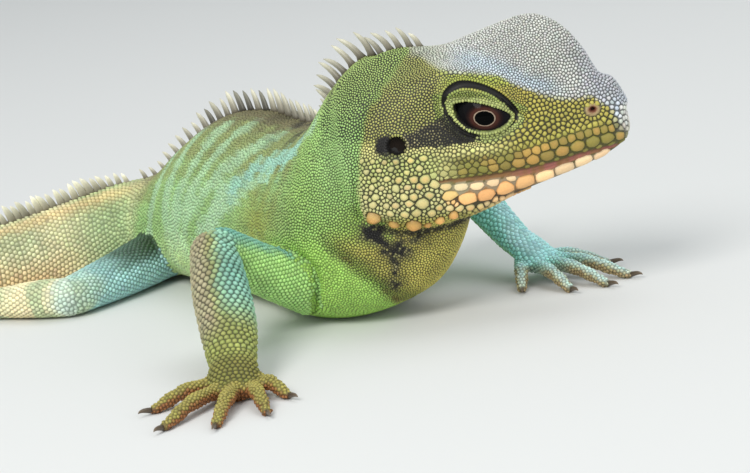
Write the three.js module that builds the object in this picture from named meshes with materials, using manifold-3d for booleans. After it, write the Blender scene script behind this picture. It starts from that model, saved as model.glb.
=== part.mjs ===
// A life-size Chinese water dragon, an agamid lizard, lying on its belly with its head raised and turned.
// Millimetres, +Z up. The origin is the middle of the flat on which the belly rests. +X is the way the
// snout points, and +Y is the lizard's left, so its right side faces -Y. The tail runs towards -X.
// The flesh is lofted: sections stand along the spine, the head and the limbs, and thin gaps part them.
import * as THREE from "three";
import { mergeVertices } from "three/addons/utils/BufferGeometryUtils.js";
import Module from "manifold-3d";

const wasm = await Module();
wasm.setup();

// ---------------------------------------------------------------- driving dimensions

const GAP = 0.32; // clear space between two neighbouring pieces
const BELLY_FLAT = [-24, 48]; // where the belly's flat lies in the coordinates of the tables below

// The head's frame: its origin lies under the ear, and it is yawed a little towards the lizard's right.
const HEAD_ORIGIN = [6.5, 1, 0];
const HEAD_YAW = -5.7;

// Lines along the head from the snout's tip to behind the ear: forward, aside and up in the head's frame.
const HEAD_RAILS = {
  crown: [
    [56.9, 0, 43.6],
    [55.4, 0, 47.8],
    [53, 0, 51.9],
    [50, 0, 53.3],
    [47, 0, 59.5],
    [43.5, 0, 64.5],
    [39, 0, 67.9],
    [34, 0, 68.8],
    [22, 0, 65.8],
    [15, 0, 63.9],
    [4, 0, 64.3],
    [-6.5, 0, 61.5],
  ],
  hump: [
    [56.9, 1.3, 43.3],
    [53, 2.6, 51.2],
    [50, 3, 52.3],
    [47, 3.2, 57],
    [39, 4.8, 63],
    [34, 5.6, 63.6],
    [22, 7, 61.9],
    [10, 7.2, 60.8],
    [-6.5, 6, 57.5],
  ],
  brow: [
    [56.9, 2.3, 42.8],
    [53, 4.6, 48.6],
    [50, 5.3, 48.2],
    [43.5, 7.4, 49.6],
    [34, 10.3, 52.6],
    [28, 11.8, 55.2],
    [22, 12.9, 57.6],
    [16, 13, 59],
    [4, 12, 56],
    [-6.5, 11, 52],
  ],
  lore: [
    [56.9, 2.8, 42],
    [53, 5.4, 44.5],
    [43.5, 8.5, 45],
    [34, 10.8, 47],
    [22, 13, 50],
    [16, 13.8, 51],
    [4, 15.4, 49.5],
    [-6.5, 13.6, 46],
  ],
  cheek: [
    [56.9, 2.9, 40.8],
    [53, 5.8, 40.2],
    [43.5, 9.2, 40.2],
    [28, 13.2, 40.6],
    [10, 16.9, 41],
    [4, 17.5, 40],
    [-6.5, 15.2, 38],
  ],
  lip: [
    [56.9, 2.6, 39.6],
    [55.4, 4.2, 38.2],
    [53, 5.5, 37.2],
    [43.5, 9, 36.2],
    [28, 13, 34.7],
    [10, 17.1, 34.6],
    [4, 17.7, 33.8],
    [-6.5, 15.2, 33],
  ],
  jaw: [
    [56.9, 1.6, 38.8],
    [55.4, 2.9, 37.2],
    [53, 4, 35.9],
    [50, 5.2, 34.6],
    [43.5, 7.2, 32.6],
    [28, 11.2, 29],
    [22, 12.8, 27],
    [16, 14.2, 25.8],
    [4, 15.8, 25.4],
    [-6.5, 13.4, 28],
  ],
  chin: [
    [56.9, 0, 38.6],
    [53, 0, 35.5],
    [50, 0, 34.1],
    [43.5, 0, 32],
    [28, 0, 28],
    [16, 0, 24],
    [4, 0, 22],
    [-6.5, 0, 26],
  ],
};
// The mouth line from ahead of the snout to the corner of the jaws: forward and up in the head's frame.
const MOUTH_LINE = [
  [60, 36.9],
  [46, 36.2],
  [35, 34.7],
  [24, 34.4],
  [11.6, 34.9],
];

const EYE = {
  radius: 6.4,
  centre: [23, 6.9, 47.7],
  halfLength: 6.6, // of the opening between the lids
  halfHeight: 3.6,
  droop: -20, // its front corner lies lower
  floor: 8.6, // how far aside the pocket starts
};
const EAR = { radius: 3, centre: [1.5, 16.4, 44], depth: 1.6, thickness: 0.8 };
const NOSTRIL = { radius: 0.9, centre: [47.6, 6.9, 45.3], depth: 1.2 };

// Sections of the body from the throat to the root of the tail. yaw is the way a section faces, in degrees,
// and lean is how far forward its lowest point lies of its highest.
// x, y, yaw, top, bottom, lean, half width
const BODY_SECTIONS = {
  gullet: [23, 0, 0, 58, 28, 4, 8],
  throat: [16, 0.5, -6, 59.5, 16.5, 9, 10.6],
  nape: [8.5, 2.8, -20, 63.2, 7.5, 11, 14.2],
  neckRoot: [-0.5, 7, -36, 56.8, 2, 8, 18.8],
  shoulders: [-6.5, 16, -54, 47.8, -0.9, 3.5, 22.3],
  chest: [-13, 34, -62, 44.6, -0.9, 1, 23.5],
  midTrunk: [-22, 54, -61, 45.4, -0.9, 0, 25.5],
  loins: [-33, 71.5, -55, 43.2, -0.9, 0, 25],
  flank: [-44.5, 85, -44, 35.6, -0.7, 0, 21],
  pelvis: [-57, 93.5, -26, 26.2, -0.3, 0, 17],
  tailRoot: [-70, 96.5, 4, 23.9, -0.3, 0, 13],
};
const BODY_SHAPE = { backRoundness: 1.75, bellyRoundness: 2.7, widestLevel: 0.42 };

// The tail by the length along it: which way it heads away from the body, how high and how wide it is.
const TAIL_LENGTH = 500;
const TAIL_HEADING = [
  [0, 186],
  [16, 198],
  [32, 208],
  [60, 206],
  [105, 190],
  [150, 168],
  [200, 157],
  [245, 168],
  [290, 202],
  [335, 248],
  [380, 290],
  [425, 325],
  [500, 350],
];
const TAIL_HEIGHT = [
  [0, 24],
  [18, 21],
  [34, 19],
  [60, 17.2],
  [100, 14.8],
  [150, 12.2],
  [220, 9],
  [300, 6.2],
  [400, 3.4],
  [500, 1.5],
];
const TAIL_HALF_WIDTH = [
  [0, 12.4],
  [16, 9.8],
  [34, 8.2],
  [100, 6],
  [220, 3.7],
  [400, 1.6],
  [500, 0.7],
];
const TAIL_PIECES = [84, 84, 98, 112, 122]; // lengths of the tail's nodes, from its root
const TAIL_ROW = 14; // one section of the tail to so many millimetres

// Limbs from the trunk outwards, each joint with the half width and half thickness there, and the heading
// of the hand or foot with each digit's turn from it, first digit first.
const HAND_DIGITS = [11, 17, 21, 21.5, 16];
const FOOT_DIGITS = [11, 17, 26, 34, 20];
// x, y, z, half width, half thickness
const LIMBS = [
  {
    side: "right",
    pieces: {
      upper_arm: [
        [-16, 4.5, 8.6, 6.6, 6.8],
        [-27, -3.5, 16.6, 6.2, 6.2],
        [-36, -11.5, 24.3, 5.8, 5.8],
      ],
      forearm: [
        [-37.4, -12.5, 24.3, 5.6, 5.8],
        [-36.4, -23, 18.2, 6.6, 6],
        [-35.2, -33, 11.4, 6.6, 5.4],
        [-34.6, -44, 6.4, 5.6, 3.9],
      ],
      hand: [
        [-34.5, -44.4, 6.3, 5.4, 3.8],
        [-34.3, -49.5, 4.2, 5.7, 3.5],
        [-34.2, -54, 2.4, 5.1, 2.6],
      ],
    },
    digits: { heading: -92, turns: [38, 14, -8, -30, -54], lengths: HAND_DIGITS, mirrored: false },
  },
  {
    side: "left",
    pieces: {
      upper_arm: [
        [5, 20, 15, 6.8, 7],
        [13, 37, 21, 6.4, 6.6],
        [20, 51, 26.6, 5.8, 5.8],
      ],
      forearm: [
        [20.4, 51.5, 26.8, 5.6, 5.6],
        [25, 42.5, 21.2, 5.5, 5],
        [30, 33, 14.8, 4.8, 4.4],
        [34.4, 25.4, 9.6, 4.4, 3.8],
      ],
      hand: [
        [34.2, 25.8, 9.7, 4.4, 3.7],
        [37.8, 22.4, 6.9, 5.4, 3.3],
        [41.2, 19.2, 4.3, 5, 2.6],
      ],
    },
    digits: { heading: -50, turns: [46, 16, 2, -12, -40], lengths: HAND_DIGITS, mirrored: true },
  },
  {
    side: "right",
    pieces: {
      thigh: [
        [-53, 83, 8, 8, 7.5],
        [-66, 64, 6.4, 7, 6.4],
        [-79, 47.5, 5.2, 5.7, 5.1],
      ],
      shank: [
        [-79.6, 47, 5.1, 5.5, 5],
        [-88, 50, 5, 5.6, 4.9],
        [-98, 54.5, 4.3, 4.3, 4.1],
        [-105, 58, 3.9, 3.8, 3.7],
      ],
      foot: [
        [-105.4, 58, 3.9, 3.8, 3.6],
        [-112, 53.6, 3.2, 4.4, 3.1],
        [-118.4, 49.4, 2.4, 5, 2.6],
      ],
    },
    digits: { heading: 214, turns: [40, 20, 4, -10, -28], lengths: FOOT_DIGITS, mirrored: false },
  },
  {
    side: "left",
    pieces: {
      thigh: [
        [-47, 97, 12, 8.5, 9],
        [-25, 106, 11.4, 8, 8.4],
        [-6, 112, 9.6, 6.2, 6.4],
      ],
      shank: [
        [-5.5, 112.5, 9.4, 6.2, 5.8],
        [-13, 121, 8, 6.4, 5.6],
        [-23, 132, 6.4, 4.8, 4.4],
        [-31, 141, 4.7, 3.9, 3.8],
      ],
      foot: [
        [-31.4, 140.6, 4.6, 3.9, 3.7],
        [-24, 145.5, 3.4, 4.6, 3.2],
        [-16, 150, 2.4, 5.2, 2.6],
      ],
    },
    digits: { heading: 30, turns: [44, 20, 4, -10, -44], lengths: FOOT_DIGITS, mirrored: true },
  },
];
// Digits leave the last joint of a hand or foot: how far back and aside of it, first digit first.
const DIGIT_ROOTS = {
  hand: [
    [4.5, 4.6],
    [1.5, 3.3],
    [0.8, 0],
    [1.5, -3.3],
    [6.5, -4.8],
  ],
  foot: [
    [6.5, 3.8],
    [2.6, 2.9],
    [1, 1],
    [1, -1.8],
    [9, -3.8],
  ],
};
// Along a digit, from its root to its tip: share of its length, height of its middle, and radius.
const DIGIT_SHAPE = [
  [0, 2.4, 1.7],
  [0.45, 2.9, 1.5],
  [0.75, 2, 1.3],
  [1, 0.8, 1.05],
];
const CLAW = { length: 3.4, startRadius: 0.8, endRadius: 0.25, tipHeight: 0.5 };

// Crests: where they start and end by the row of the spine, the number and height of their teeth along the
// way, and how far back they lean.
const CREST_THICKNESS = { root: 2, tip: 0.7 };
const NOTCH_SHARE = 0.45; // the height of the notch between two teeth, as a share of theirs
const CRESTS = {
  crest_nape: {
    from: 1.3,
    to: 4.15,
    teeth: 16,
    heights: [[0, 1.8], [0.2, 3.6], [0.5, 5], [0.8, 3.6], [1, 1]],
    lean: 0.8,
  },
  crest_back: {
    from: 4.4,
    to: 9.35,
    teeth: 25,
    heights: [[0, 1.2], [0.2, 3.6], [0.6, 4.4], [1, 1.4]],
    lean: 0.45,
  },
  crest_tail: {
    from: 9.6,
    to: 26,
    teeth: 28,
    heights: [[0, 1.6], [0.1, 4.4], [0.4, 4], [1, 0.8]],
    lean: 0.45,
  },
};

// ---------------------------------------------------------------- small tools

const { Vector3 } = THREE;
const radians = THREE.MathUtils.degToRad;
const between = (low, value, high) => Math.min(Math.max(value, low), high);
const power = (value, exponent) => Math.sign(value) * Math.abs(value) ** exponent;

// A smooth curve through rows of numbers, at a place on the scale of their first column, either way up.
function smoothAt(rows, place) {
  const last = rows.length - 1;
  const way = Math.sign(rows[last][0] - rows[0][0]);
  let i = 0;
  while (i < last - 1 && (place - rows[i + 1][0]) * way >= 0) i++;
  const [a, b, c, d] = [i - 1, i, i + 1, i + 2].map((k) => rows[between(0, k, last)]);
  const span = c[0] - b[0];
  const f = between(0, (place - b[0]) / span, 1);
  const f2 = f * f;
  const f3 = f2 * f;
  return b.slice(1).map((_, column) => {
    const k = column + 1;
    const slopeIn = ((c[k] - a[k]) / (c[0] - a[0])) * span;
    const slopeOut = ((d[k] - b[k]) / (d[0] - b[0])) * span;
    const ends = (2 * f3 - 3 * f2 + 1) * b[k] + (3 * f2 - 2 * f3) * c[k];
    return ends + (f3 - 2 * f2 + f) * slopeIn + (f3 - f2) * slopeOut;
  });
}
// The same through rows that are evenly spaced, at t from 0 to the last row's number.
const numbered = (rows) => rows.map((row, i) => [i, ...row]);

// A closed mesh as a solid that can be joined and cut.
function solidFrom(positions, triangles) {
  const vertProperties = new Float32Array(positions);
  const build = (corners) =>
    new wasm.Manifold(new wasm.Mesh({ numProp: 3, vertProperties, triVerts: new Uint32Array(corners) }));
  const made = build(triangles);
  return made.volume() > 0 ? made : build(triangles.toReversed()); // faces turned to look outwards
}

function solidOf(geometry) {
  const plain = geometry.clone();
  plain.deleteAttribute("normal");
  plain.deleteAttribute("uv");
  const merged = mergeVertices(plain);
  return solidFrom(Array.from(merged.attributes.position.array), Array.from(merged.index.array));
}

// A closed body through rings of points, each ring the same number of points, with flat ends.
function loft(rings) {
  const n = rings[0].length;
  const lastRing = (rings.length - 1) * n;
  const triangles = [];
  for (let start = 0; start < lastRing; start += n)
    for (let i = 0; i < n; i++) {
      const [a, b] = [start + i, start + ((i + 1) % n)];
      triangles.push(a, b, a + n, b, b + n, a + n);
    }
  for (let i = 1; i < n - 1; i++) {
    triangles.push(0, i + 1, i);
    triangles.push(lastRing, lastRing + i, lastRing + i + 1);
  }
  const positions = rings.flat().flatMap(({ x, y, z }) => [x, y, z]);
  return solidFrom(positions, triangles);
}

function geometryOf(solid) {
  const { vertProperties, triVerts, numProp, numVert } = solid.getMesh();
  const positions = new Float32Array(numVert * 3);
  for (let i = 0; i < numVert; i++) {
    const start = i * numProp;
    positions.set(vertProperties.subarray(start, start + 3), i * 3);
  }
  const geometry = new THREE.BufferGeometry();
  geometry.setAttribute("position", new THREE.BufferAttribute(positions, 3));
  geometry.setIndex(new THREE.BufferAttribute(triVerts, 1));
  return geometry;
}

// The largest body of a cut solid, without the slivers that a cut leaves beside it.
const larger = (a, b) => (b.volume() > a.volume() ? b : a);
const mainBody = (solid) => solid.decompose().reduce(larger);

// ---------------------------------------------------------------- spine: throat, trunk and tail

const ROW = Object.fromEntries(Object.keys(BODY_SECTIONS).map((name, i) => [name, i]));

// The tail's rows carry on from the body's, found by walking along its heading.
function tailRows() {
  const rows = [];
  const tailStart = BODY_SECTIONS.tailRoot;
  let [x, y] = tailStart;
  for (let s = TAIL_ROW; s <= TAIL_LENGTH; s += TAIL_ROW) {
    const [way] = smoothAt(TAIL_HEADING, s - TAIL_ROW / 2);
    x += Math.cos(radians(way)) * TAIL_ROW;
    y += Math.sin(radians(way)) * TAIL_ROW;
    const bottom = tailStart[4];
    const top = smoothAt(TAIL_HEIGHT, s)[0] + bottom;
    rows.push([x, y, smoothAt(TAIL_HEADING, s)[0] - 180, top, bottom, 0, smoothAt(TAIL_HALF_WIDTH, s)[0]]);
  }
  return rows;
}
const SPINE = numbered([...Object.values(BODY_SECTIONS), ...tailRows()]);
const SPINE_END = SPINE.length - 1;

// The spine's section at t: its highest and lowest points, its side vector and its half width.
function sectionAt(t) {
  const [x, y, yaw, top, bottom, lean, halfWidth] = smoothAt(SPINE, t);
  const heading = new Vector3(Math.cos(radians(yaw)), Math.sin(radians(yaw)), 0);
  const side = new Vector3(-heading.y, heading.x, 0);
  const dorsal = new Vector3(x, y, top).addScaledVector(heading, -lean / 2);
  const ventral = new Vector3(x, y, bottom).addScaledVector(heading, lean / 2);
  return { heading, side, dorsal, ventral, halfWidth };
}

// A ring of the body at t, grown outwards by extra.
function bodyRing(t, points, extra = 0) {
  const { side, dorsal, ventral, halfWidth } = sectionAt(t);
  const widest = ventral.clone().lerp(dorsal, BODY_SHAPE.widestLevel);
  const up = dorsal.clone().sub(widest);
  const down = ventral.clone().sub(widest);
  up.setLength(up.length() + extra);
  down.setLength(down.length() + extra);
  return Array.from({ length: points }, (_, i) => {
    const angle = (2 * Math.PI * i) / points + Math.PI / 2;
    const [c, s] = [Math.cos(angle), Math.sin(angle)];
    const roundness = s > 0 ? BODY_SHAPE.backRoundness : BODY_SHAPE.bellyRoundness;
    return widest
      .clone()
      .addScaledVector(side, (halfWidth + extra) * power(c, 2 / roundness))
      .addScaledVector(s > 0 ? up : down, Math.abs(s) ** (2 / roundness));
  });
}

// The body from t0 to t1. Its cut ends stop half a gap short of the next piece.
function bodyLength(t0, t1, steps, points, extra = 0) {
  const halfGap = (t, way) => {
    const nearby = sectionAt(t).dorsal.distanceTo(sectionAt(t + way * 0.05).dorsal);
    return (way * 0.05 * GAP * 0.6) / Math.max(nearby, 0.1);
  };
  const from = t0 > 0 ? t0 + halfGap(t0, 1) : t0;
  const to = t1 < SPINE_END ? t1 + halfGap(t1, -1) : t1;
  const place = (i) => from + ((to - from) * i) / steps;
  return loft(Array.from({ length: steps + 1 }, (_, i) => bodyRing(place(i), points, extra)));
}

// ---------------------------------------------------------------- head

const HEAD_RING_POINTS = 28; // two to each stretch between the rails
const HEAD_STEPS = 16;
const HEAD_REACH = 40; // well past the head's own width and depth
const OUTLINE_POINTS = 12;

// The head's ring at a distance forward, a smooth closed line through its rails, grown by extra.
function headRing(x, extra) {
  const half = Object.values(HEAD_RAILS).map((rail) => smoothAt(rail, x));
  const outline = [...half, ...half.slice(1, -1).map(([y, z]) => [-y, z]).reverse()];
  const middle = (half[0][1] + half[half.length - 1][1]) / 2;
  const curve = new THREE.CatmullRomCurve3(
    outline.map(([y, z]) => new Vector3(x, y, z)),
    true,
    "centripetal",
  );
  return Array.from({ length: HEAD_RING_POINTS }, (_, i) => {
    const p = curve.getPoint(i / HEAD_RING_POINTS);
    return p.addScaledVector(new Vector3(0, p.y, p.z - middle).normalize(), extra);
  });
}

// Rings stand closer together towards the snout's tip, where the head closes fast.
function headLoft(extra = 0) {
  const front = HEAD_RAILS.crown[0][0];
  const back = HEAD_RAILS.crown.at(-1)[0];
  const place = (i) => front + (back - front) * (i / HEAD_STEPS) ** 1.35;
  return loft(Array.from({ length: HEAD_STEPS + 1 }, (_, i) => headRing(place(i), extra)));
}

// A prism across the head between two distances aside, from an outline given forward and up. side is 1 for
// the left of the head and -1 for its right.
function headPrism(outline, from, to, side = 1) {
  const shape = new THREE.Shape(outline.map(([x, z]) => new THREE.Vector2(x, z)));
  const geometry = new THREE.ExtrudeGeometry(shape, { depth: to - from, bevelEnabled: false });
  geometry.rotateX(Math.PI / 2); // the outline's second number turns up, and its depth turns towards -Y
  geometry.translate(0, side > 0 ? to : -from, 0);
  return solidOf(geometry);
}

// All of the head below the mouth line and ahead of its corner, lowered and drawn forward by drop.
function belowMouth(drop) {
  const line = MOUTH_LINE.map(([x, z]) => [x + drop, z - drop]);
  const [front, corner] = [line[0], line.at(-1)];
  const ahead = front[0] + HEAD_REACH;
  const behindCorner = corner[0] + 5;
  const outline = [...line, [behindCorner, 0], [ahead, 0], [ahead, front[1]]];
  return headPrism(outline, -HEAD_REACH, HEAD_REACH);
}

// An ellipse on the side of the head, turned by droop degrees.
function ellipse([x, , z], halfLength, halfHeight, droop = 0) {
  const [c, s] = [Math.cos(radians(droop)), Math.sin(radians(droop))];
  return Array.from({ length: OUTLINE_POINTS }, (_, i) => {
    const angle = (2 * Math.PI * i) / OUTLINE_POINTS;
    const [a, b] = [halfLength * Math.cos(angle), halfHeight * Math.sin(angle)];
    return [x + a * c - b * s, z + a * s + b * c];
  });
}

// The eyeball between the lids and the pocket that it sits in, on one side of the head.
function eyeParts(side) {
  const [x, y, z] = EYE.centre;
  const ball = solidOf(new THREE.SphereGeometry(EYE.radius, 14, 9)).translate([x, side * y, z]);
  const opening = (extra) => ellipse(EYE.centre, EYE.halfLength + extra, EYE.halfHeight + extra, EYE.droop);
  return {
    piece: ball.intersect(headPrism(opening(0), EYE.floor + GAP, HEAD_REACH, side)),
    pocket: headPrism(opening(GAP), EYE.floor, HEAD_REACH, side),
  };
}

// The eardrum, a thin disc, and the shallow pocket that it lies in.
function earParts(side) {
  const floor = EAR.centre[1] - EAR.depth;
  const round = (extra) => ellipse(EAR.centre, EAR.radius + extra, EAR.radius + extra);
  return {
    piece: headPrism(round(0), floor + GAP, floor + GAP + EAR.thickness, side),
    pocket: headPrism(round(GAP), floor, HEAD_REACH, side),
  };
}

const nostril = (side) =>
  headPrism(
    ellipse(NOSTRIL.centre, NOSTRIL.radius, NOSTRIL.radius),
    NOSTRIL.centre[1] - NOSTRIL.depth,
    HEAD_REACH,
    side,
  );

const placeHead = (solid) => solid.rotate([0, 0, HEAD_YAW]).translate(HEAD_ORIGIN);

// ---------------------------------------------------------------- limbs

const CAP = { out: 0.6, share: 0.7 }; // a limb's rounded end: how far out its last ring lies, and its width

// A tube through joints of x, y, z, half width and half thickness, with rounded ends.
function limb(joints, points, steps, extra = 0) {
  const rows = numbered(joints);
  const last = joints.length - 1;
  const up = new Vector3(0, 0, 1);
  const middleAt = (t) => new Vector3(...smoothAt(rows, between(0, t, last)));
  const ring = (t, out = 0, share = 1) => {
    const [, , , wide, thick] = smoothAt(rows, t);
    const tangent = middleAt(t + 0.02).sub(middleAt(t - 0.02)).normalize();
    const side = up.clone().cross(tangent).normalize();
    const over = tangent.clone().cross(side);
    const middle = middleAt(t).addScaledVector(tangent, out * (thick + extra));
    return Array.from({ length: points }, (_, i) => {
      const angle = (2 * Math.PI * (i + 0.5)) / points;
      return middle
        .clone()
        .addScaledVector(side, (wide + extra) * share * Math.cos(angle))
        .addScaledVector(over, (thick + extra) * share * Math.sin(angle));
    });
  };
  const body = Array.from({ length: steps + 1 }, (_, i) => ring((last * i) / steps));
  return loft([ring(0, -CAP.out, CAP.share), ...body, ring(last, CAP.out, CAP.share)]);
}

// The joints of a digit of a hand or foot, and the way it points.
function digitJoints(kind, knuckles, { heading, turns, lengths, mirrored }, k) {
  const hand = mirrored ? -1 : 1;
  const way = radians(heading + turns[k] * hand);
  const [back, aside] = DIGIT_ROOTS[kind][k];
  const [ahead, across] = [radians(heading), radians(heading + 90 * hand)];
  const x = knuckles[0] - Math.cos(ahead) * back + Math.cos(across) * aside;
  const y = knuckles[1] - Math.sin(ahead) * back + Math.sin(across) * aside;
  const drop = knuckles[2] - DIGIT_SHAPE[0][1];
  const joints = DIGIT_SHAPE.map(([share, z, radius]) => {
    const out = share * lengths[k];
    return [x + Math.cos(way) * out, y + Math.sin(way) * out, z + drop * (1 - share), radius, radius];
  });
  return { joints, way };
}

// A hooked claw that leaves a digit's tip and comes down to the floor.
function claw(tip, way) {
  const [x, y, z, radius] = tip;
  const start = radius * CAP.out + CLAW.startRadius + GAP;
  const place = (out) => [x + Math.cos(way) * out, y + Math.sin(way) * out];
  const joint = (out, height, size) => [...place(out), height, size * 0.8, size];
  return limb(
    [
      joint(start, z + 0.3, CLAW.startRadius),
      joint(start + CLAW.length / 2, z + 0.1, (CLAW.startRadius + CLAW.endRadius) / 2),
      joint(start + CLAW.length, CLAW.tipHeight, CLAW.endRadius),
    ],
    4,
    2,
  );
}

// ---------------------------------------------------------------- crest

// How high the skin reaches over a point of the spine, where the back of the head may lie above the neck.
function skinTop(point) {
  const inHead = point.clone().sub(new Vector3(...HEAD_ORIGIN));
  const { x } = inHead.applyAxisAngle(new Vector3(0, 0, 1), -radians(HEAD_YAW));
  const overHead = x > HEAD_RAILS.crown.at(-1)[0];
  return overHead ? Math.max(point.z, smoothAt(HEAD_RAILS.crown, x)[1]) : point.z;
}

// A toothed sail that stands just clear of the skin.
function crest({ from, to, teeth, heights, lean }) {
  const rings = Array.from({ length: teeth * 2 + 1 }, (_, i) => {
    const share = i / (teeth * 2);
    const { side, dorsal, ventral, heading } = sectionAt(from + (to - from) * share);
    const up = dorsal.clone().sub(ventral).normalize();
    dorsal.z = skinTop(dorsal);
    const isTooth = i % 2 === 1;
    const tall = smoothAt(heights, share)[0] * (isTooth ? 1 : NOTCH_SHARE);
    const root = dorsal.clone().addScaledVector(up, GAP * 1.5);
    const tip = dorsal.clone().addScaledVector(up, GAP * 1.5 + tall).addScaledVector(heading, -tall * lean);
    const rootHalf = CREST_THICKNESS.root / 2;
    const tipHalf = isTooth ? CREST_THICKNESS.tip / 2 : rootHalf;
    const at = (point, aside) => point.clone().addScaledVector(side, aside);
    return [at(root, rootHalf), at(tip, tipHalf), at(tip, -tipHalf), at(root, -rootHalf)];
  });
  return loft(rings);
}

// ---------------------------------------------------------------- assembly

const finish = (color, roughness) => new THREE.MeshStandardMaterial({ color, roughness, metalness: 0 });
const SKIN_GREEN = finish(0x6fa447, 0.6);
const HEAD_OLIVE = finish(0x8c9a4b, 0.6);
const CREST_PALE = finish(0xc9c8a0, 0.65);
const EYE_BROWN = finish(0x2a1a12, 0.12);
const EAR_DARK = finish(0x2f2c28, 0.7);
const CLAW_HORN = finish(0x6a5a45, 0.4);

const dragon = new THREE.Group();
dragon.name = "water_dragon";
dragon.position.set(-BELLY_FLAT[0], -BELLY_FLAT[1], 0);

const FLOOR_BLOCK = { side: 1400, depth: 20 };
const floorBox = new THREE.BoxGeometry(FLOOR_BLOCK.side, FLOOR_BLOCK.side, FLOOR_BLOCK.depth);
const underFloor = solidOf(floorBox).translate([0, 0, -FLOOR_BLOCK.depth / 2]);

function add(name, solid, material) {
  const mesh = new THREE.Mesh(geometryOf(mainBody(solid.subtract(underFloor))), material);
  mesh.name = name;
  dragon.add(mesh);
}

// Head, jaw, eyes and ears
const sides = { left: 1, right: -1 };
const earSpace = [];
let skull = headLoft();
for (const [name, side] of Object.entries(sides)) {
  const [eye, ear] = [eyeParts(side), earParts(side)];
  skull = skull.subtract(eye.pocket).subtract(ear.pocket).subtract(nostril(side));
  earSpace.push(placeHead(ear.pocket));
  add(`eye_${name}`, placeHead(eye.piece), EYE_BROWN);
  add(`ear_${name}`, placeHead(ear.piece), EAR_DARK);
}
add("head", placeHead(skull.subtract(belowMouth(-GAP / 2))), HEAD_OLIVE);
add("jaw", placeHead(skull.intersect(belowMouth(GAP / 2))), HEAD_OLIVE);

// Neck, trunk, hips and tail, as lengths of the spine
const headSpace = placeHead(headLoft(GAP));
const NECK_END = ROW.neckRoot + 0.75;
const TRUNK_END = ROW.flank + 0.3;
const neck = earSpace.reduce((solid, space) => solid.subtract(space), bodyLength(0, NECK_END, 8, 22));
add("neck", neck.subtract(headSpace), SKIN_GREEN);
add("trunk", bodyLength(NECK_END, TRUNK_END, 9, 22).subtract(headSpace), SKIN_GREEN);
add("hips", bodyLength(TRUNK_END, ROW.tailRoot, 3, 20), SKIN_GREEN);
TAIL_PIECES.reduce((start, length, i) => {
  const end = Math.min(start + length / TAIL_ROW, SPINE_END);
  add(`tail_${i + 1}`, bodyLength(start, end, Math.round(length / TAIL_ROW), 14 - 2 * i), SKIN_GREEN);
  return end;
}, ROW.tailRoot);

// Limbs: each piece is cut back by the one before it, and by the body
const bodySpace = bodyLength(1, ROW.tailRoot + 3, 24, 22, GAP * 1.6);
for (const { side, pieces, digits } of LIMBS) {
  const [[upperName, upper], [lowerName, lower], [endName, end]] = Object.entries(pieces);
  const upperSpace = limb(upper, 10, 3, GAP);
  const lowerSpace = limb(lower, 10, 5, GAP);
  add(`${upperName}_${side}`, limb(upper, 10, 3).subtract(bodySpace), SKIN_GREEN);
  add(`${lowerName}_${side}`, limb(lower, 10, 5).subtract(upperSpace).subtract(bodySpace), SKIN_GREEN);
  let palm = limb(end, 8, 2);
  digits.turns.forEach((_, k) => {
    const { joints, way } = digitJoints(endName, end.at(-1), digits, k);
    palm = palm.add(limb(joints, 5, 3));
    add(`claw_${endName}_${side}_${k + 1}`, claw(joints.at(-1), way), CLAW_HORN);
  });
  add(`${endName}_${side}`, palm.subtract(lowerSpace).subtract(upperSpace), SKIN_GREEN);
}

for (const [name, shape] of Object.entries(CRESTS)) add(name, crest(shape), CREST_PALE);

export default dragon;
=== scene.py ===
"""The looks of a life-size Chinese water dragon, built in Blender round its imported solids.

Lengths are millimetres in the tables' frame until make_mesh() moves them so that the belly's flat is the
origin, and turns them into metres. The head has a frame of its own: forward, aside and up.
"""

from __future__ import annotations

import logging
import math
from dataclasses import dataclass, field, fields
from enum import Enum, IntEnum
from typing import Callable, Sequence

import bmesh
import bpy
import numpy as np
from mathutils import Matrix, Vector
from mathutils.bvhtree import BVHTree
from mathutils.kdtree import KDTree


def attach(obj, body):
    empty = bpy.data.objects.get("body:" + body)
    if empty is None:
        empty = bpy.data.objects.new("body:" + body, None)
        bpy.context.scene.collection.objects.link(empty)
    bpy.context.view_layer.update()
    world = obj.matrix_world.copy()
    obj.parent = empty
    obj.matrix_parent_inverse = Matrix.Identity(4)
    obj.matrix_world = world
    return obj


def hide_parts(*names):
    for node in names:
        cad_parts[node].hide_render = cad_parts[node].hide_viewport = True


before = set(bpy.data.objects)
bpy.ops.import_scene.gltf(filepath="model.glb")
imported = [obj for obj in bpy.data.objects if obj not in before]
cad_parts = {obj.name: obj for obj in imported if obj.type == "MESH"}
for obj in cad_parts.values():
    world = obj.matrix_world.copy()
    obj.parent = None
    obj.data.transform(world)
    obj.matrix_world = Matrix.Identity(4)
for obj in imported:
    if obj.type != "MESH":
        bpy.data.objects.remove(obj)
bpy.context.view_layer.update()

log = logging.getLogger("water_dragon")
Array = np.ndarray

MM = 0.001
ROOT = "root"
BELLY_FLAT = np.array([-24.0, 48.0, 0.0])
SEED = 7

# ---------------------------------------------------------------- the body's tables


class Row(IntEnum):
    """The body's sections, from the throat to the root of the tail."""

    GULLET = 0
    THROAT = 1
    NAPE = 2
    NECK_ROOT = 3
    SHOULDERS = 4
    CHEST = 5
    MID_TRUNK = 6
    LOINS = 7
    FLANK = 8
    PELVIS = 9
    TAIL_ROOT = 10


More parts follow.
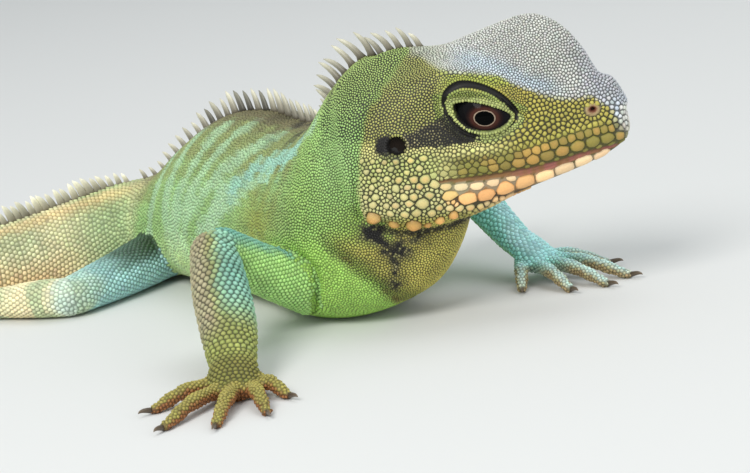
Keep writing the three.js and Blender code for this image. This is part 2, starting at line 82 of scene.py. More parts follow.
# x, y, yaw, top, bottom, lean, half width
BODY_SECTIONS = {
    Row.GULLET: (23, 0, 0, 58, 28, 4, 8),
    Row.THROAT: (16, 0.5, -6, 59.5, 16.5, 9, 10.6),
    Row.NAPE: (8.5, 2.8, -20, 63.2, 7.5, 11, 14.2),
    Row.NECK_ROOT: (-0.5, 7, -36, 56.8, 2, 8, 18.8),
    Row.SHOULDERS: (-6.5, 16, -54, 47.8, -0.9, 3.5, 22.3),
    Row.CHEST: (-13, 34, -62, 44.6, -0.9, 1, 23.5),
    Row.MID_TRUNK: (-22, 54, -61, 45.4, -0.9, 0, 25.5),
    Row.LOINS: (-33, 71.5, -55, 43.2, -0.9, 0, 25),
    Row.FLANK: (-44.5, 85, -44, 35.6, -0.7, 0, 21),
    Row.PELVIS: (-57, 93.5, -26, 26.2, -0.3, 0, 17),
    Row.TAIL_ROOT: (-70, 96.5, 4, 23.9, -0.3, 0, 13),
}
BACK_ROUNDNESS, BELLY_ROUNDNESS, WIDEST_LEVEL = 1.75, 2.7, 0.42

TAIL_LENGTH, TAIL_STEP = 500.0, 14.0
TAIL_HEADING = ((0, 186), (16, 198), (32, 208), (60, 206), (105, 190), (150, 168), (200, 157), (245, 168),
                (290, 202), (335, 248), (380, 290), (425, 325), (500, 350))
TAIL_HEIGHT = ((0, 24), (18, 21), (34, 19), (60, 17.2), (100, 14.8), (150, 12.2), (220, 9), (300, 6.2),
               (400, 3.4), (500, 1.5))
TAIL_HALF_WIDTH = ((0, 12.4), (16, 9.8), (34, 8.2), (100, 6), (220, 3.7), (400, 1.6), (500, 0.7))

HEAD_ORIGIN = np.array([6.5, 1.0, 0.0])
HEAD_YAW = -5.7
# Lines along the head from the snout's tip to behind the ear: forward, aside and up, from crown to chin.
HEAD_RAILS = (
    ((56.9, 0, 43.6), (55.4, 0, 47.8), (53, 0, 51.9), (50, 0, 53.3), (47, 0, 59.5), (43.5, 0, 64.5),
     (39, 0, 67.9), (34, 0, 68.8), (22, 0, 65.8), (15, 0, 63.9), (4, 0, 64.3), (-6.5, 0, 61.5)),
    ((56.9, 1.3, 43.3), (53, 2.6, 51.2), (50, 3, 52.3), (47, 3.2, 57), (39, 4.8, 63), (34, 5.6, 63.6),
     (22, 7, 61.9), (10, 7.2, 60.8), (-6.5, 6, 57.5)),
    ((56.9, 2.3, 42.8), (53, 4.6, 48.6), (50, 5.3, 48.2), (43.5, 7.4, 49.6), (34, 10.3, 52.6),
     (28, 11.8, 55.2), (22, 12.9, 57.6), (16, 13, 59), (4, 12, 56), (-6.5, 11, 52)),
    ((56.9, 2.8, 42), (53, 5.4, 44.5), (43.5, 8.5, 45), (34, 10.8, 47), (22, 13, 50), (16, 13.8, 51),
     (4, 15.4, 49.5), (-6.5, 13.6, 46)),
    ((56.9, 2.9, 40.8), (53, 5.8, 40.2), (43.5, 9.2, 40.2), (28, 13.2, 40.6), (10, 16.9, 41),
     (4, 17.5, 40), (-6.5, 15.2, 38)),
    ((56.9, 2.6, 39.6), (55.4, 4.2, 38.2), (53, 5.5, 37.2), (43.5, 9, 36.2), (28, 13, 34.7),
     (10, 17.1, 34.6), (4, 17.7, 33.8), (-6.5, 15.2, 33)),
    ((56.9, 1.6, 38.8), (55.4, 2.9, 37.2), (53, 4, 35.9), (50, 5.2, 34.6), (43.5, 7.2, 32.6), (28, 11.2, 29),
     (22, 12.8, 27), (16, 14.2, 25.8), (4, 15.8, 25.4), (-6.5, 13.4, 28)),
    ((56.9, 0, 38.6), (53, 0, 35.5), (50, 0, 34.1), (43.5, 0, 32), (28, 0, 28), (16, 0, 24), (4, 0, 22),
     (-6.5, 0, 26)),
)
MOUTH_LINE = ((60, 36.9), (46, 36.2), (35, 34.7), (24, 34.4), (11.6, 34.9))
MOUTH_CORNER = 11.6

# Limb joints: x, y, z, half width, half thickness
LIMB_JOINTS = {
    "upper_arm_right": ((-16, 4.5, 8.6, 6.6, 6.8), (-27, -3.5, 16.6, 6.2, 6.2),
                        (-36, -11.5, 24.3, 5.8, 5.8)),
    "forearm_right": ((-37.4, -12.5, 24.3, 5.6, 5.8), (-36.4, -23, 18.2, 6.6, 6),
                      (-35.2, -33, 11.4, 6.6, 5.4), (-34.6, -44, 6.4, 5.6, 3.9)),
    "hand_right": ((-34.5, -44.4, 6.3, 5.4, 3.8), (-34.3, -49.5, 4.2, 5.7, 3.5),
                   (-34.2, -54, 2.4, 5.1, 2.6)),
    "upper_arm_left": ((5, 20, 15, 6.8, 7), (13, 37, 21, 6.4, 6.6), (20, 51, 26.6, 5.8, 5.8)),
    "forearm_left": ((20.4, 51.5, 26.8, 5.6, 5.6), (25, 42.5, 21.2, 5.5, 5), (30, 33, 14.8, 4.8, 4.4),
                     (34.4, 25.4, 9.6, 4.4, 3.8)),
    "hand_left": ((34.2, 25.8, 9.7, 4.4, 3.7), (37.8, 22.4, 6.9, 5.4, 3.3), (41.2, 19.2, 4.3, 5, 2.6)),
    "thigh_right": ((-53, 83, 8, 8, 7.5), (-66, 64, 6.4, 7, 6.4), (-79, 47.5, 5.2, 5.7, 5.1)),
    "shank_right": ((-79.6, 47, 5.1, 5.5, 5), (-88, 50, 5, 5.6, 4.9), (-98, 54.5, 4.3, 4.3, 4.1),
                    (-105, 58, 3.9, 3.8, 3.7)),
    "foot_right": ((-105.4, 58, 3.9, 3.8, 3.6), (-112, 53.6, 3.2, 4.4, 3.1), (-118.4, 49.4, 2.4, 5, 2.6)),
    "thigh_left": ((-47, 97, 12, 8.5, 9), (-25, 106, 11.4, 8, 8.4), (-6, 112, 9.6, 6.2, 6.4)),
    "shank_left": ((-5.5, 112.5, 9.4, 6.2, 5.8), (-13, 121, 8, 6.4, 5.6), (-23, 132, 6.4, 4.8, 4.4),
                   (-31, 141, 4.7, 3.9, 3.8)),
    "foot_left": ((-31.4, 140.6, 4.6, 3.9, 3.7), (-24, 145.5, 3.4, 4.6, 3.2), (-16, 150, 2.4, 5.2, 2.6)),
}
HAND_DIGITS = (11, 17, 21, 21.5, 16)
FOOT_DIGITS = (11, 17, 26, 34, 20)
# Where the digits of a hand or foot head, each one's turn from there, their lengths, and which hand it is
DIGIT_PLANS = {
    "hand_right": (-92, (38, 14, -8, -30, -54), HAND_DIGITS, 1),
    "hand_left": (-50, (46, 16, 2, -12, -40), HAND_DIGITS, -1),
    "foot_right": (214, (40, 20, 4, -10, -28), FOOT_DIGITS, 1),
    "foot_left": (30, (44, 20, 4, -10, -44), FOOT_DIGITS, -1),
}
# How far back and aside of the last joint each digit leaves it
DIGIT_ROOTS = {
    "hand": ((4.5, 4.6), (1.5, 3.3), (0.8, 0), (1.5, -3.3), (6.5, -4.8)),
    "foot": ((6.5, 3.8), (2.6, 2.9), (1, 1), (1, -1.8), (9, -3.8)),
}
# A digit's joints: share of its length, height and radius
DIGIT_SHAPE = ((0, 2.4, 1.7), (0.45, 2.9, 1.5), (0.75, 2, 1.3), (1, 0.8, 1.05))
DIGITS = range(5)
NUDGE = 0.02  # the step along a loft over which its direction is measured

# ---------------------------------------------------------------- small tools


def hermite(start: Array, end: Array, slope_in: Array, slope_out: Array, f: Array) -> Array:
    """Points f of the way from start to end on curves with the given slopes there."""
    f2, f3 = f * f, f**3
    ends = (2 * f3 - 3 * f2 + 1) * start + (3 * f2 - 2 * f3) * end
    return ends + (f3 - 2 * f2 + f) * slope_in + (f3 - f2) * slope_out


def smooth_at(rows: Sequence[Sequence[float]] | Array, place: Array | float) -> Array:
    """A smooth curve through rows of numbers, as the solids use it.

    Args:
        rows: rows whose first column is the scale, rising or falling.
        place: where on that scale to read.

    Returns:
        The other columns at each place, as rows.
    """
    rows = np.asarray(rows, float)
    if rows[-1, 0] < rows[0, 0]:
        rows = rows[::-1]
    place = np.atleast_1d(np.asarray(place, float))
    last = len(rows) - 1
    i = np.clip(np.searchsorted(rows[:, 0], place, side="right") - 1, 0, last - 1)
    a, b, c, d = (rows[np.clip(i + k, 0, last)] for k in (-1, 0, 1, 2))
    span = c[:, :1] - b[:, :1]
    f = np.clip((place[:, None] - b[:, :1]) / span, 0, 1)
    slope_in = (c - a) / (c[:, :1] - a[:, :1]) * span
    slope_out = (d - b) / (d[:, :1] - b[:, :1]) * span
    return hermite(b, c, slope_in, slope_out, f)[:, 1:]


def curve_at(rows: Sequence[Sequence[float]], place: Array) -> Array:
    """A smooth curve's value at each place, through rows of scale and value."""
    return smooth_at(rows, place)[:, 0]


def number_at(rows: Sequence[Sequence[float]], place: float) -> float:
    """A smooth curve's value at a single place."""
    return float(smooth_at(rows, place)[0, 0])


def numbered(rows: Sequence[Sequence[float]]) -> Array:
    """Evenly spaced rows with their number as a first column."""
    rows = np.asarray(rows, float)
    return np.column_stack([np.arange(len(rows)), rows])


def unit(vectors: Array) -> Array:
    """Vectors along the last axis, made one long."""
    return vectors / np.maximum(np.linalg.norm(vectors, axis=-1, keepdims=True), 1e-9)


def power(value: Array, exponent: float) -> Array:
    """A power that keeps the sign."""
    return np.sign(value) * np.abs(value) ** exponent


def cos_sin(degrees: float) -> tuple[float, float]:
    """An angle's cosine and sine."""
    return math.cos(math.radians(degrees)), math.sin(math.radians(degrees))


def turns(count: int) -> Array:
    """Angles evenly round a circle."""
    return math.tau * np.arange(count) / count


def run_along(line: Array) -> Array:
    """How far along a line of points each one lies."""
    return np.concatenate([[0], np.cumsum(np.linalg.norm(np.diff(line, axis=0), axis=1))])


def tree_of(places: Array) -> KDTree:
    """A tree that finds the places nearest to a point."""
    tree = KDTree(len(places))
    for i, place in enumerate(places.tolist()):
        tree.insert(place, i)
    tree.balance()
    return tree


def step(low: float, high: float, value: Array) -> Array:
    """A smooth rise from 0 at low to 1 at high, either way round."""
    f = np.clip((value - low) / (high - low), 0, 1)
    return f * f * (3 - 2 * f)


def hill(value: Array, width: float) -> Array:
    """A soft bump that is 1 at 0 and fades out over width."""
    return np.exp(-((value / width) ** 2))


def line_distance(x: Array, z: Array, points: Sequence[tuple[float, float]]) -> Array:
    """How far each x, z lies from a line through points."""
    best = np.full(x.shape, np.inf)
    for (x0, z0), (x1, z1) in zip(points, points[1:]):
        dx, dz = x1 - x0, z1 - z0
        f = np.clip(((x - x0) * dx + (z - z0) * dz) / (dx * dx + dz * dz), 0, 1)
        best = np.minimum(best, np.hypot(x - x0 - f * dx, z - z0 - f * dz))
    return best


class Drift:
    """A smooth seeded field over space, between about -1 and 1, made of crossing waves."""

    WAVES = 14

    def __init__(self, seed: int) -> None:
        """Draws the waves."""
        random = np.random.default_rng(seed)
        self.ways = unit(random.normal(size=(self.WAVES, 3))) * random.uniform(0.6, 1.7, (self.WAVES, 1))
        self.starts = random.uniform(0, math.tau, self.WAVES)

    def at(self, points: Array, size: float) -> Array:
        """The field at points, with features about size across."""
        waves = np.sin(points @ self.ways.T * (math.tau / (2 * size)) + self.starts)
        return waves.sum(axis=1) * math.sqrt(2 / self.WAVES) * 0.6


def to_head(points: Array) -> Array:
    """Points in the head's frame: forward, aside and up."""
    c, s = cos_sin(HEAD_YAW)
    return (points - HEAD_ORIGIN) @ np.array([[c, -s, 0], [s, c, 0], [0, 0, 1]])


def from_head(points: Array, turn_only: bool = False) -> Array:
    """Points of the head's frame in the tables' frame, or directions if turn_only."""
    c, s = cos_sin(HEAD_YAW)
    turned = np.asarray(points, float) @ np.array([[c, s, 0], [-s, c, 0], [0, 0, 1]])
    return turned if turn_only else turned + HEAD_ORIGIN


def set_points(mesh: bpy.types.Mesh, points: Array) -> None:
    """Moves a mesh's corners."""
    mesh.vertices.foreach_set("co", points.astype(np.float32).ravel())


def add_object(name: str, data: bpy.types.ID) -> bpy.types.Object:
    """A new object in the scene."""
    made = bpy.data.objects.new(name, data)
    bpy.context.scene.collection.objects.link(made)
    return made


def make_mesh(name: str, points: Array, faces: Array, finished: bool = True) -> bpy.types.Mesh:
    """A smooth-shaded mesh.

    Args:
        name: the mesh's name.
        points: corners in the tables' frame, in millimetres.
        faces: corner numbers, a row to each triangle.
        finished: whether it is turned into metres, with nothing under the floor, or stays as it is.
    """
    mesh = bpy.data.meshes.new(name)
    faces = np.asarray(faces, np.int32)
    if finished:
        points = (points - BELLY_FLAT) * MM
        points[:, 2] = np.maximum(points[:, 2], 0)
    mesh.vertices.add(len(points))
    set_points(mesh, points)
    mesh.loops.add(faces.size)
    mesh.loops.foreach_set("vertex_index", faces.ravel())
    mesh.polygons.add(len(faces))
    mesh.polygons.foreach_set("loop_start", np.arange(0, faces.size, 3, dtype=np.int32))
    mesh.update(calc_edges=True)
    mesh.shade_smooth()
    return mesh


def set_markings(mesh: bpy.types.Mesh, colours: Array) -> None:
    """Gives a mesh's corners the colours that its material reads."""
    attribute = mesh.attributes.new("markings", "FLOAT_COLOR", "POINT")
    values = np.column_stack([colours, np.ones(len(colours))])
    attribute.data.foreach_set("color", values.astype(np.float32).ravel())


def make_object(name: str, points: Array, faces: Array, material: bpy.types.Material, slot: str,
                replaced: Sequence[str] = ()) -> bpy.types.Object:
    """A finished piece that rides on the body and stands for the named solids."""
    piece = add_object(name, make_mesh(name, points, faces))
    piece.data.materials.append(material)
    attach(piece, ROOT)
    if replaced:
        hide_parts(*replaced)
    log.info("%s: %d triangles", name, len(faces))
    return piece


def closed_tube(rings: Array) -> tuple[Array, Array]:
    """Corners and triangles of a tube with a point in the middle of each end."""
    count, around = rings.shape[:2]
    i, j = np.meshgrid(np.arange(count - 1), np.arange(around), indexing="ij")
    a, b = (i * around + j).ravel(), (i * around + (j + 1) % around).ravel()
    triangles = np.concatenate([np.column_stack([a, b, b + around]),
                                np.column_stack([a, b + around, a + around])])
    points = np.concatenate([rings.reshape(-1, 3), [rings[0].mean(axis=0), rings[-1].mean(axis=0)]])
    i = np.arange(around)
    start, end = count * around, count * around + 1
    last = (count - 1) * around
    front = np.column_stack([np.full(around, start), (i + 1) % around, i])
    back = np.column_stack([np.full(around, end), last + i, last + (i + 1) % around])
    return points, np.concatenate([triangles, front, back])


def joined_meshes(parts: Sequence[tuple[Array, Array]]) -> tuple[Array, Array]:
    """Several meshes' corners and faces as those of one."""
    starts = np.cumsum([0] + [len(points) for points, _ in parts])
    return (np.concatenate([points for points, _ in parts]),
            np.concatenate([faces + start for (_, faces), start in zip(parts, starts)]))


def rounded(rings: Array, swell: float) -> Array:
    """Rings with rounded ends added: swell is how far an end stands out, as a share of its radius."""
    def cap(ring: Array, inner: Array) -> list[Array]:
        middle = ring.mean(axis=0)
        way = unit(middle - inner.mean(axis=0))
        reach = np.linalg.norm(ring - middle, axis=1).mean() * swell
        return [middle + (ring - middle) * math.cos(turn) + way * reach * math.sin(turn)
                for turn in np.radians((30, 55, 75))]

    front, back = cap(rings[0], rings[1]), cap(rings[-1], rings[-2])
    return np.concatenate([front[::-1], rings, back])


# ---------------------------------------------------------------- lofted flesh


class Spine:
    """Throat, trunk and tail as one loft of sections along the spine."""

    def __init__(self) -> None:
        """Carries the body's sections on with the tail's, found by walking along its heading."""
        rows = [list(map(float, row)) for row in BODY_SECTIONS.values()]
        x, y, bottom = rows[-1][0], rows[-1][1], rows[-1][4]
        for s in np.arange(TAIL_STEP, TAIL_LENGTH + 0.1, TAIL_STEP):
            way = math.radians(number_at(TAIL_HEADING, s - TAIL_STEP / 2))
            x += math.cos(way) * TAIL_STEP
            y += math.sin(way) * TAIL_STEP
            yaw = number_at(TAIL_HEADING, s) - 180
            top = number_at(TAIL_HEIGHT, s) + bottom
            rows.append([x, y, yaw, top, bottom, 0, number_at(TAIL_HALF_WIDTH, s)])
        self.rows = numbered(rows)
        self.end = float(len(rows) - 1)

    def section(self, t: Array | float) -> tuple[Array, Array, Array, Array, Array]:
        """Heading, side way, highest point, lowest point and half width at t."""
        x, y, yaw, top, bottom, lean, half = smooth_at(self.rows, t).T
        turn = np.radians(yaw)
        heading = np.column_stack([np.cos(turn), np.sin(turn), np.zeros_like(x)])
        side = np.column_stack([-heading[:, 1], heading[:, 0], np.zeros_like(x)])
        dorsal = np.column_stack([x, y, top]) - heading * (lean / 2)[:, None]
        ventral = np.column_stack([x, y, bottom]) + heading * (lean / 2)[:, None]
        return heading, side, dorsal, ventral, half

    def rings(self, t: Array, around: int, inset: float = 0.0) -> Array:
        """Rings of the body at t, starting at the back and going round by the animal's right.

        Args:
            t: places along the spine, by row.
            around: points in a ring.
            inset: how far inside the solids the ring lies.
        """
        _, side, dorsal, ventral, half = self.section(t)
        widest = ventral + (dorsal - ventral) * WIDEST_LEVEL
        up, down = dorsal - widest, ventral - widest
        up = up * (1 - inset / np.linalg.norm(up, axis=1, keepdims=True))
        down = down * (1 - inset / np.linalg.norm(down, axis=1, keepdims=True))
        angle = turns(around) + math.pi / 2
        c, s = np.cos(angle), np.sin(angle)
        roundness = np.where(s > 0, BACK_ROUNDNESS, BELLY_ROUNDNESS)
        out = power(c, 2 / roundness)[None, :, None] * (side * (half - inset)[:, None])[:, None, :]
        high = np.where((s > 0)[None, :, None], up[:, None], down[:, None])
        tall = (np.abs(s) ** (2 / roundness))[None, :, None] * high
        return widest[:, None] + out + tall


class HeadShape:
    """The head as rings through its rails."""

    BACK, FRONT = -6.5, 56.9

    def rings(self, x: Array, around: int, inset: float = 0.0) -> Array:
        """Rings at distances forward, in the tables' frame, starting at the crown."""
        half = [smooth_at(rail, x) for rail in HEAD_RAILS]
        mirrored = [rail * (-1, 1) for rail in half[-2:0:-1]]
        outline = np.stack(half + mirrored, axis=1)
        count = outline.shape[1]
        place = np.arange(around) * count / around
        i = np.floor(place).astype(int)
        f = (place - i)[None, :, None]
        p = [outline[:, (i + k) % count] for k in (-1, 0, 1, 2)]
        gap = [np.maximum(np.linalg.norm(b - a, axis=2, keepdims=True) ** 0.5, 1e-3)
               for a, b in zip(p, p[1:])]
        slope_in = (p[1] - p[0]) / gap[0] - (p[2] - p[0]) / (gap[0] + gap[1]) + (p[2] - p[1]) / gap[1]
        slope_out = (p[2] - p[1]) / gap[1] - (p[3] - p[1]) / (gap[1] + gap[2]) + (p[3] - p[2]) / gap[2]
        ring = hermite(p[1], p[2], slope_in * gap[1], slope_out * gap[1], f)
        middle = np.zeros_like(ring)
        middle[..., 1] = ((half[0][:, 1] + half[-1][:, 1]) / 2)[:, None]
        ring = ring - unit(ring - middle) * inset
        forward = np.broadcast_to(np.asarray(x)[:, None, None], ring.shape[:2] + (1,))
        return from_head(np.concatenate([forward, ring], axis=2))


class LimbShape:
    """A tube through joints that each give a place, a half width and a half thickness."""

    def __init__(self, joints: Sequence[Sequence[float]], knuckles: float = 0.0) -> None:
        """Keeps the joints. knuckles is how much a digit swells at its joints, as a share."""
        self.rows = numbered(joints)
        self.end = float(len(joints) - 1)
        self.knuckles = knuckles

    def rings(self, t: Array, around: int, inset: float = 0.0) -> Array:
        """Rings at t, by joint."""
        t = np.asarray(t, float)
        rows = smooth_at(self.rows, t)
        ahead = smooth_at(self.rows, np.minimum(t + NUDGE, self.end))[:, :3]
        behind = smooth_at(self.rows, np.maximum(t - NUDGE, 0))[:, :3]
        tangent = unit(ahead - behind)
        side = unit(np.cross((0, 0, 1), tangent))
        over = np.cross(tangent, side)
        angle = turns(around)
        swell = 1 + self.knuckles * np.cos(math.tau * (t / self.end) * 3)[:, None, None]
        wide = (rows[:, 3] - inset)[:, None, None] * swell * np.cos(angle)[None, :, None]
        thick = (rows[:, 4] - inset)[:, None, None] * swell * np.sin(angle)[None, :, None]
        return rows[:, None, :3] + side[:, None] * wide + over[:, None] * thick


def digit_joints(name: str, k: int) -> tuple[list[tuple[float, ...]], float]:
    """The joints of digit k of a hand or foot, and the way that it points in radians."""
    heading, bends, lengths, hand = DIGIT_PLANS[name]
    knuckles = LIMB_JOINTS[name][-1]
    way = math.radians(heading + bends[k] * hand)
    back, aside = DIGIT_ROOTS[name.split("_")[0]][k]
    ahead, across = math.radians(heading), math.radians(heading + 90 * hand)
    x = knuckles[0] - math.cos(ahead) * back + math.cos(across) * aside
    y = knuckles[1] - math.sin(ahead) * back + math.sin(across) * aside
    drop = knuckles[2] - DIGIT_SHAPE[0][1]
    joints = []
    for share, z, radius in DIGIT_SHAPE:
        out = share * lengths[k]
        joints.append((x + math.cos(way) * out, y + math.sin(way) * out, z + drop * (1 - share),
                       radius, radius))
    return joints, way


@dataclass
class Tube:
    """One loft of the flesh, with how it is meshed and how its scales are spaced."""

    name: str
    shape: Spine | HeadShape | LimbShape
    start: float
    stop: float
    stations: int
    around: int
    spacing: Callable[[Array], Array]
    inset: float = 0.35
    swell: float = 0.8

    def rings(self, t: Array, around: int) -> Array:
        """Rings inside the solids by the coat's depth."""
        return self.shape.rings(t, around, self.inset)

    def mesh(self) -> tuple[Array, Array]:
        """Corners and triangles of the closed loft."""
        t = np.linspace(self.start, self.stop, self.stations)
        return closed_tube(rounded(self.rings(t, self.around), self.swell))


def body_spacing(t: Array) -> Array:
    """How far apart the rows of scales lie from the hips to the tip of the tail."""
    knots = ((Row.CHEST, 1.22), (Row.FLANK, 1.25), (Row.TAIL_ROOT, 1.35), (15, 1.4), (25, 1.25),
             (35, 1.05), (46, 0.85))
    return curve_at(knots, t)


LEFT_FOREARM_SIZE = 0.85  # its scales beside the right forearm's


def flesh_tubes() -> list[Tube]:
    """Every loft of the flesh, the head first and the body second."""
    spine = Spine()
    tubes = [
        Tube("head", HeadShape(), HeadShape.FRONT - 0.3, HeadShape.BACK, stations=84, around=96,
             spacing=lambda t: np.full(len(t), 1.0), swell=0.5),
        Tube("body", spine, 0.0, spine.end - 0.01, stations=620, around=72, spacing=body_spacing),
    ]
    limb_spacing = {"upper_arm": 1.08, "forearm": 1.5, "hand": 1.25,
                    "thigh": 1.25, "shank": 1.3, "foot": 1.2}
    for name, joints in LIMB_JOINTS.items():
        size = limb_spacing[name.rsplit("_", 1)[0]] * (LEFT_FOREARM_SIZE if name == "forearm_left" else 1)
        shape = LimbShape(joints)
        tubes.append(Tube(name, shape, 0.0, shape.end, stations=36, around=36,
                          spacing=lambda t, s=size: np.full(len(t), s)))
    for name in DIGIT_PLANS:
        for k in DIGITS:
            shape = LimbShape(digit_joints(name, k)[0], knuckles=0.07)
            tubes.append(Tube(f"{name}_{k + 1}", shape, 0.0, shape.end, stations=40, around=14,
                              spacing=lambda t: np.full(len(t), 0.95), inset=-0.05))
    return tubes


# ---------------------------------------------------------------- the head's details


@dataclass(frozen=True)
class EyePlan:
    """One eye, by its places in the head's frame."""

    centre: tuple[float, float, float] = (23.0, 6.9, 47.7)
    ball: tuple[float, float] = (7.6, 6.4)  # half its height, and half its depth
    pupil: tuple[float, float] = (23.2, 47.5)
    middle: tuple[float, float] = (22.8, 48.9)  # of the opening between the lids
    half_length: float = 6.65
    upper_height: float = 1.9
    lower_height: float = 4.2
    droop: float = -18.7

    def axes(self, x: Array, z: Array) -> tuple[Array, Array]:
        """Distances along and across the slit between the lids."""
        c, s = cos_sin(self.droop)
        dx, dz = x - self.middle[0], z - self.middle[1]
        return dx * c + dz * s, dz * c - dx * s

    def opening(self, x: Array, z: Array) -> Array:
        """0 at the middle of the opening, 1 at its rim and more outside it."""
        u, v = self.axes(x, z)
        tall = np.where(v > 0, self.upper_height, self.lower_height)
        return np.sqrt((u / self.half_length) ** 2 + (np.abs(v) / tall) ** 1.6)

    def surface(self, x: Array, z: Array) -> Array:
        """How far aside the eyeball reaches."""
        tall, deep = self.ball
        r2 = (x - self.centre[0]) ** 2 + (z - self.centre[2]) ** 2
        return self.centre[1] + deep * np.sqrt(np.maximum(0, 1 - r2 / tall**2))

    def rim(self, reach: float, count: int) -> tuple[Array, Array]:
        """Places of scales round the opening, at a share of its size, evenly along the rim."""
        angle = np.linspace(0, math.tau, 721)
        u = self.half_length * reach * np.cos(angle)
        tall = np.where(np.sin(angle) > 0, self.upper_height, self.lower_height)
        v = tall * reach ** 1.25 * power(np.sin(angle), 1.25)
        length = np.concatenate([[0], np.cumsum(np.hypot(np.diff(u), np.diff(v)))])
        even = np.linspace(0, length[-1], count, endpoint=False)
        u, v = np.interp(even, length, u), np.interp(even, length, v)
        c, s = cos_sin(self.droop)
        return self.middle[0] + u * c - v * s, self.middle[1] + u * s + v * c


EYE = EyePlan()
# The black groove round the eye, from behind and below it over the top to its front corner: forward, up and
# half width
GROOVE_KNOTS = (
    (20.6, 43.4, 0.5), (18.0, 44.8, 0.5), (16.0, 46.8, 0.42), (14.6, 49.6, 0.42), (14.3, 52.0, 0.5),
    (14.9, 53.9, 0.65), (16.3, 55.1, 0.85), (18.2, 55.8, 0.95), (20.2, 55.7, 0.9), (22.2, 55.1, 0.85),
    (24.3, 54.1, 0.8), (26.5, 52.6, 0.78), (28.2, 50.9, 0.78), (29.6, 49.0, 0.75), (30.4, 47.6, 0.65),
    (30.3, 46.3, 0.45), (29.6, 45.3, 0.32), (28.3, 44.4, 0.24))
GROOVE = smooth_at(numbered(GROOVE_KNOTS), np.linspace(0, len(GROOVE_KNOTS) - 1, 150))
EAR_CENTRE, EAR_RADIUS, EAR_FLOOR = (2.7, 43.8), 2.1, 15.0
NOSTRIL_CENTRE = (47.8, 45.6)


def groove_share(x: Array, z: Array) -> Array:
    """0 in the middle of the groove round the eye, 1 at its edges and more outside it."""
    share = np.full(len(x), 9.0)
    near = (x > 12) & (x < 33) & (z > 41) & (z < 58)
    away = np.hypot(x[near, None] - GROOVE[:, 0], z[near, None] - GROOVE[:, 1])
    share[near] = (away / GROOVE[:, 2]).min(axis=1)
    return share


def ear_distance(x: Array, z: Array) -> Array:
    """How far places are from the middle of the ear."""
    return np.hypot(x - EAR_CENTRE[0], z - EAR_CENTRE[1])


def nostril_share(x: Array, z: Array) -> Array:
    """0 in the middle of the nostril's shield and 1 at its edge."""
    return np.hypot((x - NOSTRIL_CENTRE[0]) / 1.95, (z - NOSTRIL_CENTRE[1]) / 1.55)


# The crease under the jaw and the step behind it: forward, up
GULAR_CREASE = ((-4.5, 24.8), (0, 22.6), (6, 22.2), (12, 22.6), (17, 23.4), (22, 25.4))
JAW_STEP = ((0.5, 40.5), (-3.5, 37), (-6.2, 32), (-6.6, 26.5))
# The bare lip's depth along the head, and how far forward the head's back edge lies, by height
LIP_DEPTH = ((11, 0.6), (20, 0.9), (26, 1.1), (36, 1.35), (46, 0.95), (52, 0.65), (56, 0.5))
HEAD_EDGE = ((20, -6.5), (31.7, -7.5), (44.2, -5.4), (51.3, -2.8), (57.6, 1.9), (63, 7.1))
FLANK = 6.0  # how far aside the head's flanks begin


def mouth_height(x: Array) -> Array:
    """How high the mouth line lies."""
    return curve_at(MOUTH_LINE, x)


def lip_share(x: Array, z: Array) -> Array:
    """How far down the bare lip places lie, as a share of its depth below the mouth line."""
    return (mouth_height(x) - z) / curve_at(LIP_DEPTH, x)


def head_edge(z: Array) -> Array:
    """How far forward the back edge of the head lies, at heights."""
    return curve_at(HEAD_EDGE, z)


